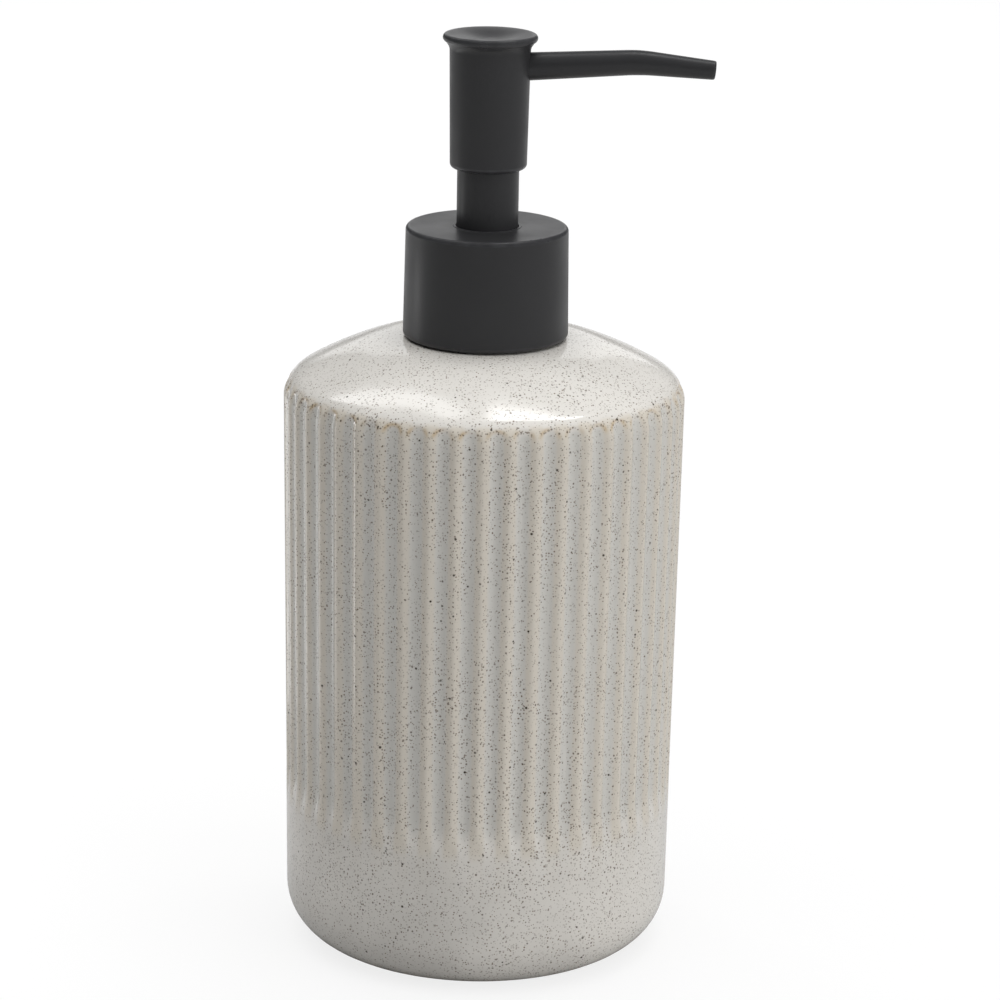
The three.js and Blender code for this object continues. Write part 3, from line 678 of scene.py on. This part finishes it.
def bottle_surface(look):
    """The bottle: its outline carried round Z, with grooves sunk into the outside.

    A point's groove distance is the root of the sum of three squares: its way across from the
    groove's middle over half a pitch, its way past the round top end over the crown, and its way
    below the bottom end over the fade. The surface sinks along its own normal by the depth
    times (half plus half the cosine of pi times that distance) to GROOVE_POWER.
    """
    points, along, outside = bottle_outline(look)
    columns = look.flutes * look.flute_columns
    around = full_turn(columns)
    across = np.abs(np.mod(around / (2 * math.pi) * look.flutes, 1.0) - 0.5) * 2
    above = np.maximum(0.0, along - look.flute_top) / look.flute_crown
    below = np.maximum(0.0, look.flute_bottom - points[:, 1]) / look.flute_fade
    ends = np.where(np.arange(len(points)) < outside, np.hypot(above, below), NO_GROOVE)
    away = np.hypot(ends[:, None], across)
    near = np.clip(away, 0.0, 1.0)
    depth = look.flute_depth * (0.5 + 0.5 * np.cos(math.pi * near)) ** GROOVE_POWER
    slope = np.gradient(points, axis=0)
    slope /= np.linalg.norm(slope, axis=1)[:, None]
    normal = np.stack([slope[:, 1], -slope[:, 0]], axis=1)
    radius = points[:, :1] - depth * normal[:, :1]
    height = points[:, 1:] - depth * normal[:, 1:]
    grid = carried(radius, height, around)
    inside = 1 - smoothstep(*RIDGE_END, ends)[:, None]
    groove = 1 - smoothstep(*GROOVE_GLAZE, away)
    ridge = inside * smoothstep(*RIDGE_GLAZE, across + 0 * away)
    top_end = smoothstep(-0.1, 0.4, (along - look.flute_top) / look.flute_crown)[:, None]
    ring = np.exp(-((away - BREAK_AT) / BREAK_WIDTH) ** 2) * top_end
    ring = np.where(ends[:, None] < NO_GROOVE, ring, 0.0)
    return surface("fluted_bottle", grid, False, {
        "groove": groove, "ridge": ridge, "broken": ring
    })


class DISPENSER_OT_bottle(bpy.types.Operator):
    """Make the fluted stoneware bottle"""

    bl_idname = "dispenser.bottle"
    bl_label = "Bottle"

    def execute(self, context):
        piece = bottle_surface(settings("bottle"))
        settle(piece, "bottle", "stoneware", "bottle")
        return {"FINISHED"}


# ---------------- visible pump

# The stem's hole in the collar is wider than the sleeve by the gap. The lip round it rises above
# the collar's top and is this wide at its top and at its foot.
STEM_GAP, LIP_RISE, LIP_TOP, LIP_FOOT = 0.12 * MM, 0.10 * MM, 0.50 * MM, 0.60 * MM
SLEEVE_WALL = 0.98 * MM
NOZZLE_START, NOZZLE_STEPS, NOZZLE_SIDES = 2.2 * MM, 60, 40
BEND_HALF = 2.5 * MM
TIP_ROUND, MOUTH_ROUND = 0.35 * MM, 0.15 * MM


def collar_piece(look):
    """The collar: an upside-down cup with a rounded outline and a low lip round the stem's
    hole, turned about Z."""
    low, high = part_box("collar_shell")
    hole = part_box("guide_sleeve")[1].x + STEM_GAP
    lip_top = high.z + LIP_RISE
    top_radius = high.x - look.collar_taper
    outline, edges = rounded([
        (high.x - look.collar_wall, low.z, 0.3 * MM),
        (high.x, low.z, look.collar_foot),
        (top_radius, high.z, look.collar_edge),
        (hole + LIP_FOOT, high.z, 0.05 * MM),
        (hole + LIP_TOP, lip_top, 0.05 * MM),
        (hole, lip_top, 0.12 * MM),
        (hole, high.z - look.deck, 0.15 * MM),
        (top_radius - look.collar_wall, high.z - look.deck, 0.5 * MM),
    ], steps=8)
    return turned("collar", outline, edges, 160)


def sleeve_piece():
    """The sleeve the head slides over: a long tube with rounded ends, turned about Z."""
    low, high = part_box("guide_sleeve")
    bore = high.x - SLEEVE_WALL
    outline, edges = rounded([
        (bore, low.z, 0.1 * MM),
        (high.x, low.z, 0.25 * MM),
        (high.x, high.z, 0.4 * MM),
        (bore, high.z, 0.2 * MM),
    ])
    return turned("stem_sleeve", outline, edges, 96)


def head_piece(look):
    """The head: skirt, round body, hollow under the rim, rounded lip and thumb dish.

    Returns the outline and how much each point is edge. The dish's height falls from the lip to
    the middle as a squared cosine of the radius. A low moulded dot marks its centre.
    """
    low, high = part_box("head_shell")
    rim, lip, hollow = high.x, look.rim_lip, look.rim_hollow
    under_rim = high.z - lip
    skirt, skirt_edges = rounded([
        (look.head_bore, low.z + 1 * MM, 0.0),
        (look.head_bore, low.z, 0.35 * MM),
        (look.head_skirt, low.z, look.head_edge),
        (look.head_body, under_rim - hollow, 0.0),
    ], closed=False, steps=8)
    sweep = math.degrees(math.acos(max(-1.0, 1 - (rim - 0.55 * lip - look.head_body) / hollow)))
    curve = arc(look.head_body + hollow, under_rim - 0.9 * hollow, hollow, 180, 180 - sweep, 9)
    bead = arc(rim - 0.5 * lip, high.z - 0.5 * lip, 0.5 * lip, -75, 90, 12)
    reach = np.linspace(1.0, 0.0, 14)[1:]
    dish_start = rim - 0.5 * lip
    fall = look.dish * np.cos(0.5 * math.pi * reach) ** 2
    dot = 0.12 * MM * (1 - smoothstep(0.07, 0.11, reach))
    dish = np.stack([dish_start * reach, high.z - fall + dot], axis=1)
    ceiling = high.z - look.crown
    inside = np.array([(0.0, ceiling), (look.head_bore - 0.3 * MM, ceiling),
                       (look.head_bore, ceiling - 0.3 * MM)])
    outline = np.vstack([skirt[1:-1], curve, bead, dish, inside])
    edges = np.concatenate([
        skirt_edges[1:-1], np.zeros(len(curve)), np.ones(len(bead)) * 0.9,
        np.zeros(len(dish) + len(inside)),
    ])
    return outline, edges


def nozzle_path(look, reach, root_height):
    """The nozzle's centre line: a rising line and a falling line, joined by a parabola twice
    BEND_HALF long, at evenly spaced distances along X from NOZZLE_START out to reach."""
    rise, fall = math.tan(look.nozzle_rise), -math.tan(look.nozzle_fall)
    across = np.linspace(NOZZLE_START, reach, NOZZLE_STEPS)
    past = across - look.nozzle_bend
    blend = np.clip((past + BEND_HALF) / (2 * BEND_HALF), 0.0, 1.0)
    height = look.nozzle_bend * rise + np.where(past < 0, rise, fall) * past
    height += (fall - rise) * BEND_HALF * np.where(past < 0, blend ** 2, (1 - blend) ** 2)
    return np.stack([across, 0 * across, root_height + height], axis=1)


def nozzle_piece(look):
    """The nozzle: a tapering round skin out along its path, round the tip and back as a bore."""
    head_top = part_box("head_shell")[1].z
    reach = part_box("nozzle")[1].x
    root_height = head_top - look.nozzle_drop
    path = nozzle_path(look, reach, root_height)
    radii = np.interp(path[:, 0], [0, look.nozzle_bend, reach], [
        look.nozzle_root_radius, look.nozzle_bend_radius, look.nozzle_tip_radius
    ])
    ahead = (path[-1] - path[-2]) / np.linalg.norm(path[-1] - path[-2])
    tip = path[-1]
    bore = look.nozzle_tip_radius * look.nozzle_bore
    turn = np.radians(np.linspace(0, 90, 6))
    lip_radii = look.nozzle_tip_radius - TIP_ROUND + TIP_ROUND * np.cos(turn)
    lip_path = tip - ahead * TIP_ROUND + np.outer(TIP_ROUND * np.sin(turn), ahead)
    mouth_radii = bore + MOUTH_ROUND * (1 - np.sin(turn))
    mouth_path = tip - np.outer(MOUTH_ROUND * (1 - np.cos(turn)), ahead)
    depth = np.linspace(1.0, 12.0, 8)[:, None] * MM
    bore_path = tip - depth * ahead
    outer = path[:, 0] < reach - TIP_ROUND - 0.1 * MM
    full_path = np.vstack([path[:1], path[outer], lip_path, mouth_path, bore_path, bore_path[-1:]])
    full_radii = np.concatenate([
        [0.0], radii[outer], lip_radii, mouth_radii, np.full(len(depth), bore), [0.0]
    ])
    marks = np.concatenate([
        np.zeros(1 + outer.sum()), np.ones(2 * len(turn)), np.zeros(len(depth) + 1)
    ])
    side = np.array([0.0, 1.0, 0.0])
    forward = np.gradient(path, axis=0)
    angles = np.arctan2(forward[:, 2], forward[:, 0])
    tilt = np.interp(full_path[:, 0], path[:, 0], angles)
    up = np.stack([-np.sin(tilt), 0 * tilt, np.cos(tilt)], axis=1)
    around = full_turn(NOZZLE_SIDES)[None, :, None]
    spoke = np.cos(around) * side + np.sin(around) * up[:, None]
    grid = full_path[:, None] + full_radii[:, None, None] * spoke
    return surface("nozzle_tube", grid, False, {"edge": marks[:, None] + np.zeros(NOZZLE_SIDES)})


class DISPENSER_OT_collar(bpy.types.Operator):
    """Make the collar and the sleeve that stands out of it"""

    bl_idname = "dispenser.collar"
    bl_label = "Collar and sleeve"

    def execute(self, context):
        look = settings("pump")
        settle(collar_piece(look), "closure", "black_plastic", "collar_shell")
        settle(sleeve_piece(), "engine", "black_plastic", "guide_sleeve")
        return {"FINISHED"}


class DISPENSER_OT_head(bpy.types.Operator):
    """Make the dished head and its bent nozzle"""

    bl_idname = "dispenser.head"
    bl_label = "Head and nozzle"

    def execute(self, context):
        look = settings("pump")
        outline, edges = head_piece(look)
        head = turned("pump_head", outline, edges, 128)
        settle(head, "head", "black_plastic", "head_shell")
        settle(nozzle_piece(look), "head", "black_plastic", "nozzle")
        return {"FINISHED"}


# ---------------- inside of the pump

CYLINDER_RADIUS, CYLINDER_BORE = 7.4 * MM, 6.2 * MM
CYLINDER_FLANGE = 1.25 * MM
SEAT_DEPTH, SEAT_BORE = 48 * MM, 1.6 * MM
TUBE_WALL, TUBE_SLANT = 0.8 * MM, 35
INSERT_BORE, PLUG_RADIUS = 8.3 * MM, 9 * MM
INSERT_CORE, INSERT_FLANGE = 10.6 * MM, 13.0 * MM
# Heights of the insert's flange above the bottle's lip.
FLANGE_LOW, FLANGE_HIGH = 0.3 * MM, 1.55 * MM
THREAD_RIDGE, THREAD_PITCH, THREAD_TURNS = 1.3 * MM, 3.175 * MM, 1.5
SEAL_RIBS, SEAL_BORE, RIB_HEIGHT = 3, 9.3 * MM, 0.6 * MM


def housing_piece():
    """The pump's cylinder: flange, barrel, ball seat and tube socket, turned about Z."""
    low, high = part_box("pump_housing")
    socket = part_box("dip_tube")[1].x + 0.3 * MM
    seat = high.z - SEAT_DEPTH
    socket_top = seat - 3.4 * MM
    outline, edges = rounded([
        (socket, low.z, 0.2 * MM),
        (socket + 1 * MM, low.z, 0.3 * MM),
        (socket + 1 * MM, socket_top - 1 * MM, 0.6 * MM),
        (CYLINDER_RADIUS, seat, 0.8 * MM),
        (CYLINDER_RADIUS, high.z - CYLINDER_FLANGE, 0.4 * MM),
        (high.x, high.z - CYLINDER_FLANGE, 0.25 * MM),
        (high.x, high.z, 0.25 * MM),
        (CYLINDER_BORE, high.z, 0.3 * MM),
        (CYLINDER_BORE, seat + 1.6 * MM, 0.4 * MM),
        (3.4 * MM, seat + 0.4 * MM, 0.0),
        (SEAT_BORE, seat - 1.68 * MM, 0.0),
        (SEAT_BORE, socket_top, 0.2 * MM),
        (socket, socket_top, 0.2 * MM),
    ])
    return turned("pump_cylinder", outline, edges, 96)


def dip_tube_piece():
    """The dip tube: a thin ring carried up Z, whose lower end is cut on a slant, so that the
    cut's height grows with X by the slant's tangent."""
    low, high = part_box("dip_tube")
    radius = high.y
    bore = radius - TUBE_WALL
    slant = math.tan(math.radians(TUBE_SLANT))
    outline, edges = rounded([
        (bore, low.z, 0.08 * MM),
        (radius, low.z, 0.1 * MM),
        (radius, high.z, 0.15 * MM),
        (bore, high.z, 0.1 * MM),
    ], steps=4)
    around = full_turn(64)
    reach = outline[:, :1] * np.cos(around)
    cut = (radius - reach) * slant
    lowered = 1 - smoothstep(low.z + 8 * MM, low.z + 9 * MM, outline[:, 1:])
    height = outline[:, 1:] + cut * lowered
    grid = np.stack([reach, outline[:, :1] * np.sin(around), height], axis=-1)
    return surface("dip_pipe", grid, True, {"edge": edges[:, None] + 0 * around})


def insert_piece():
    """The neck insert: plug, flange and threaded spigot, turned about Z."""
    low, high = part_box("neck_insert")
    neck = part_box("bottle")[1].z
    outline, edges = rounded([
        (INSERT_BORE, low.z, 0.2 * MM),
        (PLUG_RADIUS, low.z, 0.3 * MM),
        (PLUG_RADIUS, neck + FLANGE_LOW, 0.2 * MM),
        (INSERT_FLANGE, neck + FLANGE_LOW, 0.2 * MM),
        (INSERT_FLANGE, neck + FLANGE_HIGH, 0.4 * MM),
        (INSERT_CORE, neck + FLANGE_HIGH, 0.4 * MM),
        (INSERT_CORE, high.z, 0.3 * MM),
        (INSERT_BORE, high.z, 0.2 * MM),
    ])
    return turned("neck_plug", outline, edges, 96)


def thread_piece():
    """The insert's thread: a rounded ridge carried up a right-hand helix, whose height above
    the core fades to a twentieth at both ends as a squared sine of the way in."""
    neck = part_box("bottle")[1].z
    way = np.linspace(0.0, 1.0, 130)
    swell = np.sin(0.5 * math.pi * np.clip(np.minimum(way, 1 - way) / 0.04, 0.0, 1.0)) ** 2
    swell = 0.05 + 0.95 * swell
    around = way * THREAD_TURNS * 2 * math.pi
    section = full_turn(20)
    out = np.clip(1.25 * np.cos(section), -1, 1) * 0.5 + 0.5
    width = np.sin(section) * (0.36 - 0.16 * out)
    sunk = 0.3 * MM
    reach = INSERT_CORE - sunk + (THREAD_RIDGE + sunk) * np.outer(swell, out)
    climb = neck + FLANGE_HIGH + THREAD_PITCH * (0.55 + THREAD_TURNS * way)
    height = climb[:, None] + THREAD_PITCH * np.outer(0.3 + 0.7 * swell, width)
    grid = carried(reach, height, around[:, None])
    start, end = grid[:1].mean(axis=1, keepdims=True), grid[-1:].mean(axis=1, keepdims=True)
    caps = np.ones((1, len(section), 1))
    grid = np.concatenate([start * caps, grid, end * caps])[:, ::-1]
    return surface("neck_thread", grid, False, {"edge": np.ones(grid.shape[:2]) * 0.5})


def neck_seal_piece():
    """The soft ring round the plug: three rounded ribs, turned about Z."""
    low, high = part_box("neck_seal")
    groove = high.x - RIB_HEIGHT
    rib = (high.z - low.z) / SEAL_RIBS
    corners = [(SEAL_BORE, low.z, 0.15 * MM), (groove, low.z, 0.15 * MM)]
    for i in range(SEAL_RIBS):
        corners.append((high.x, low.z + (i + 0.4) * rib, 0.3 * MM))
        corners.append((high.x, low.z + (i + 0.6) * rib, 0.3 * MM))
        corners.append((groove, low.z + (i + 1) * rib, 0.15 * MM))
    corners.append((SEAL_BORE, high.z, 0.15 * MM))
    outline, edges = rounded(corners, steps=4)
    return turned("ribbed_seal", outline, edges, 96)


def spring_piece(look):
    """The return spring: a round wire carried up a right-hand helix of even radius. The pitch
    is close for the first and last turn and open between them, by a smooth step."""
    low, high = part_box("return_spring")
    coil = high.x - look.wire
    steps = int(look.coils * 36)
    way = np.linspace(0.0, 1.0, steps)
    around = way * look.coils * 2 * math.pi
    ease = 0.82 * way + 0.18 * smoothstep(0.0, 1.0, way)
    height = low.z + look.wire + (high.z - low.z - 2 * look.wire) * ease
    path = np.stack([coil * np.cos(around), coil * np.sin(around), height], axis=1)
    ends = np.vstack([path[:1], path, path[-1:]])
    radii = np.concatenate([[0.0], np.full(steps, look.wire), [0.0]])
    ahead = np.gradient(path, axis=0)
    ahead /= np.linalg.norm(ahead, axis=1)[:, None]
    out = path * (1, 1, 0) / coil
    over = np.cross(ahead, out)
    out, over = (np.vstack([v[:1], v, v[-1:]]) for v in (out, over))
    section = full_turn(14)[None, :, None]
    grid = ends[:, None] + radii[:, None, None] * (
        np.cos(section) * out[:, None] + np.sin(section) * over[:, None]
    )
    return surface("coil_spring", grid, False)


class DISPENSER_OT_engine(bpy.types.Operator):
    """Make the cylinder, dip tube, neck fittings and return spring"""

    bl_idname = "dispenser.engine"
    bl_label = "Pump engine"

    def execute(self, context):
        look = settings("pump")
        settle(housing_piece(), "engine", "natural_plastic", "pump_housing")
        settle(dip_tube_piece(), "engine", "natural_plastic", "dip_tube")
        settle(insert_piece(), "neck", "natural_plastic", "neck_insert")
        settle(thread_piece(), "neck", "natural_plastic", "neck_insert")
        settle(neck_seal_piece(), "neck", "silicone", "neck_seal")
        spring = settle(spring_piece(look), "engine", "stainless", "return_spring")
        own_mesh(spring)
        return {"FINISHED"}


KEPT_NODES = {
    "screw_cap": "natural_plastic",
    "stem_guide": "natural_plastic",
    "spring_seat": "natural_plastic",
    "piston_stem": "natural_plastic",
    "stem_pin": "natural_plastic",
    "head_core": "natural_plastic",
    "housing_gasket": "silicone",
    "piston_seal": "silicone",
    "inlet_ball": "stainless",
}


class DISPENSER_OT_inner_parts(bpy.types.Operator):
    """Finish the small inner parts that keep their frame shape"""

    bl_idname = "dispenser.inner_parts"
    bl_label = "Inner parts"

    def execute(self, context):
        for name, slot in KEPT_NODES.items():
            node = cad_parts[name]
            node.data.materials.clear()
            node.data.materials.append(finish_for(slot))
        return {"FINISHED"}


# ---------------- stage

OVERHEAD_FROM, OVERHEAD_SPREAD = (0.0, 0.0, 1.0), 80
KEY_FROM, KEY_SPREAD = (0.86, -0.50, 0.36), 50

# Softboxes seen in reflections: watts, place, the two sides in metres, the first side's direction.
SOFTBOXES = {
    "top_box": (1.8, (0.245, 0.235, 1.095), (0.47, 0.18), (1, 0, 0)),
    "back_box": (0.9, (-0.33, 0.46, 0.965), (0.74, 0.12), (-0.65, 0.65, 0)),
    "left_strip": (0.03, (-0.165, 0.055, 0.05), (0.13, 0.014), (0, 0, 1)),
    "horizon_card": (1.0, (0.0, 1.2, 0.50), (0.7, 0.55), (1, 0, 0)),
}
BOTTLE_MIDDLE = Vector((0, 0, 0.09))
SKY_TINT = (0.96, 0.98, 1.0, 1.0)
PLAIN_WHITE = (1.0, 1.0, 1.0, 1.0)


def soft_light(name, kind, energy, aim_from, size, wide=0.0, along=(1, 0, 0)):
    """A light at aim_from that faces the bottle's middle, with its first side along a direction.

    A sun's size is its spread in degrees. A softbox's size and width are in metres, and only
    softboxes appear in reflections.
    """
    data = bpy.data.lights.new(name, kind)
    data.energy = energy
    if kind == "SUN":
        data.angle = math.radians(size)
    else:
        data.shape = "RECTANGLE"
        data.size, data.size_y = size, wide
    lamp = bpy.data.objects.new(name, data)
    bpy.context.scene.collection.objects.link(lamp)
    place = Vector(aim_from)
    lamp.location = place
    back = (place - BOTTLE_MIDDLE).normalized()
    first = Vector(along)
    first = (first - back * first.dot(back)).normalized()
    facing = Matrix((first, back.cross(first), back)).transposed()
    lamp.rotation_mode = "QUATERNION"
    lamp.rotation_quaternion = facing.to_quaternion()
    lamp.visible_camera = False
    lamp.visible_glossy = kind == "AREA"


class DISPENSER_OT_stage(bpy.types.Operator):
    """Make the pale floor, the soft studio lights and the camera"""

    bl_idname = "dispenser.stage"
    bl_label = "Stage"

    def execute(self, context):
        look = settings("stage")
        self.make_floor(look)
        self.make_light(look)
        self.make_camera(look)
        context.scene.view_settings.view_transform = "Standard"
        context.scene.view_settings.look = "None"
        context.scene.cycles.use_denoising = True
        return {"FINISHED"}

    def make_floor(self, look):
        """A large flat square at the bottle's foot."""
        half = look.floor_size / 2
        corners = np.array([(-half, -half, 0), (half, -half, 0), (half, half, 0), (-half, half, 0)])
        mesh = bpy.data.meshes.new("pale_floor")
        mesh.from_pydata(corners, [], [(0, 1, 2, 3)])
        plane = bpy.data.objects.new("pale_floor", mesh)
        bpy.context.scene.collection.objects.link(plane)
        make = Finish("pale_floor")
        dim = scaled(look.floor_colour, 0.985)
        shade = make.mix(make.noise(3.0, 2.0), dim, look.floor_colour)
        lit = make.add("ShaderNodeBsdfDiffuse", {"Color": shade})
        glow = make.add("ShaderNodeEmission", {"Color": shade})
        seen = make.add("ShaderNodeMixShader", {
            0: look.floor_glow, 1: lit.outputs["BSDF"], 2: glow.outputs["Emission"]
        })
        grey = scaled(look.floor_colour, look.floor_bounce)
        lighting = make.add("ShaderNodeBsdfDiffuse", {"Color": (*grey, 1.0)})
        direct = make.add("ShaderNodeLightPath").outputs["Is Camera Ray"]
        matte = make.add("ShaderNodeMixShader", {
            0: direct, 1: lighting.outputs["BSDF"], 2: seen.outputs["Shader"]
        })
        make.add("ShaderNodeOutputMaterial", {"Surface": matte.outputs["Shader"]})
        mesh.materials.append(make.material)

    def make_light(self, look):
        """Even light from all round, a wide overhead light, a key from the right, and softboxes
        whose reflections lie on the shoulder, the left ridges and the collar's top."""
        world = bpy.data.worlds.new("studio")
        bpy.context.scene.world = world
        make = Nodes(world)
        even = make.add("ShaderNodeBackground", {"Color": SKY_TINT, "Strength": look.sky})
        white = make.add("ShaderNodeBackground", {"Color": PLAIN_WHITE})
        direct = make.add("ShaderNodeLightPath").outputs["Is Camera Ray"]
        seen = make.add("ShaderNodeMixShader", {
            0: direct, 1: even.outputs["Background"], 2: white.outputs["Background"]
        })
        make.add("ShaderNodeOutputWorld", {"Surface": seen.outputs["Shader"]})
        for name, strength, aim_from, spread in (
            ("overhead", look.overhead, OVERHEAD_FROM, OVERHEAD_SPREAD),
            ("key", look.key, KEY_FROM, KEY_SPREAD),
        ):
            soft_light(name, "SUN", strength, aim_from, spread)
        for name, (watts, aim_from, sides, along) in SOFTBOXES.items():
            soft_light(name, "AREA", watts, aim_from, *sides, along)

    def make_camera(self, look):
        """A camera on a circle round its target, then turned a little off it and rolled."""
        data = bpy.data.cameras.new("camera")
        data.sensor_width = 36.0
        data.lens = look.lens
        data.clip_start, data.clip_end = 0.05, 50.0
        camera = bpy.data.objects.new("camera", data)
        bpy.context.scene.collection.objects.link(camera)
        back = Vector((0.0, -math.cos(look.elevation), math.sin(look.elevation)))
        facing = (-back).to_track_quat("-Z", "Y").to_matrix()
        facing = facing @ Matrix.Rotation(look.roll, 3, "Z")
        facing = facing @ Matrix.Rotation(-look.turn_right, 3, "Y")
        facing = facing @ Matrix.Rotation(-look.turn_down, 3, "X")
        camera.rotation_mode = "QUATERNION"
        camera.rotation_quaternion = facing.to_quaternion()
        camera.location = Vector((0.0, 0.0, look.target_height)) + back * look.distance
        bpy.context.scene.camera = camera


# ---------------- sidebar and registering

STEPS = (
    DISPENSER_OT_bottle,
    DISPENSER_OT_collar,
    DISPENSER_OT_head,
    DISPENSER_OT_engine,
    DISPENSER_OT_inner_parts,
    DISPENSER_OT_stage,
)
GROUPS = {"bottle": BottleSettings, "pump": PumpSettings, "stage": StageSettings}


class DISPENSER_PT_panel(bpy.types.Panel):
    """Settings and steps of the soap dispenser"""

    bl_idname = "DISPENSER_PT_panel"
    bl_label = "Soap Dispenser"
    bl_space_type = "VIEW_3D"
    bl_region_type = "UI"
    bl_category = "Dispenser"

    def draw(self, context):
        for step in STEPS:
            self.layout.operator(step.bl_idname)
        for name, group in GROUPS.items():
            box = self.layout.box()
            box.label(text=name.capitalize())
            for key in group.__annotations__:
                box.prop(settings(name), key)


CLASSES = (*GROUPS.values(), *STEPS, DISPENSER_PT_panel)


def register():
    for item in CLASSES:
        bpy.utils.register_class(item)
    for name, group in GROUPS.items():
        setattr(bpy.types.Scene, "dispenser_" + name, PointerProperty(type=group))


def unregister():
    for name in GROUPS:
        delattr(bpy.types.Scene, "dispenser_" + name)
    for item in reversed(CLASSES):
        bpy.utils.unregister_class(item)


def main():
    """Registers the classes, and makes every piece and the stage."""
    register()
    bpy.ops.dispenser.bottle()
    bpy.ops.dispenser.collar()
    bpy.ops.dispenser.head()
    bpy.ops.dispenser.engine()
    bpy.ops.dispenser.inner_parts()
    bpy.ops.dispenser.stage()


if __name__ == "__main__":
    main()
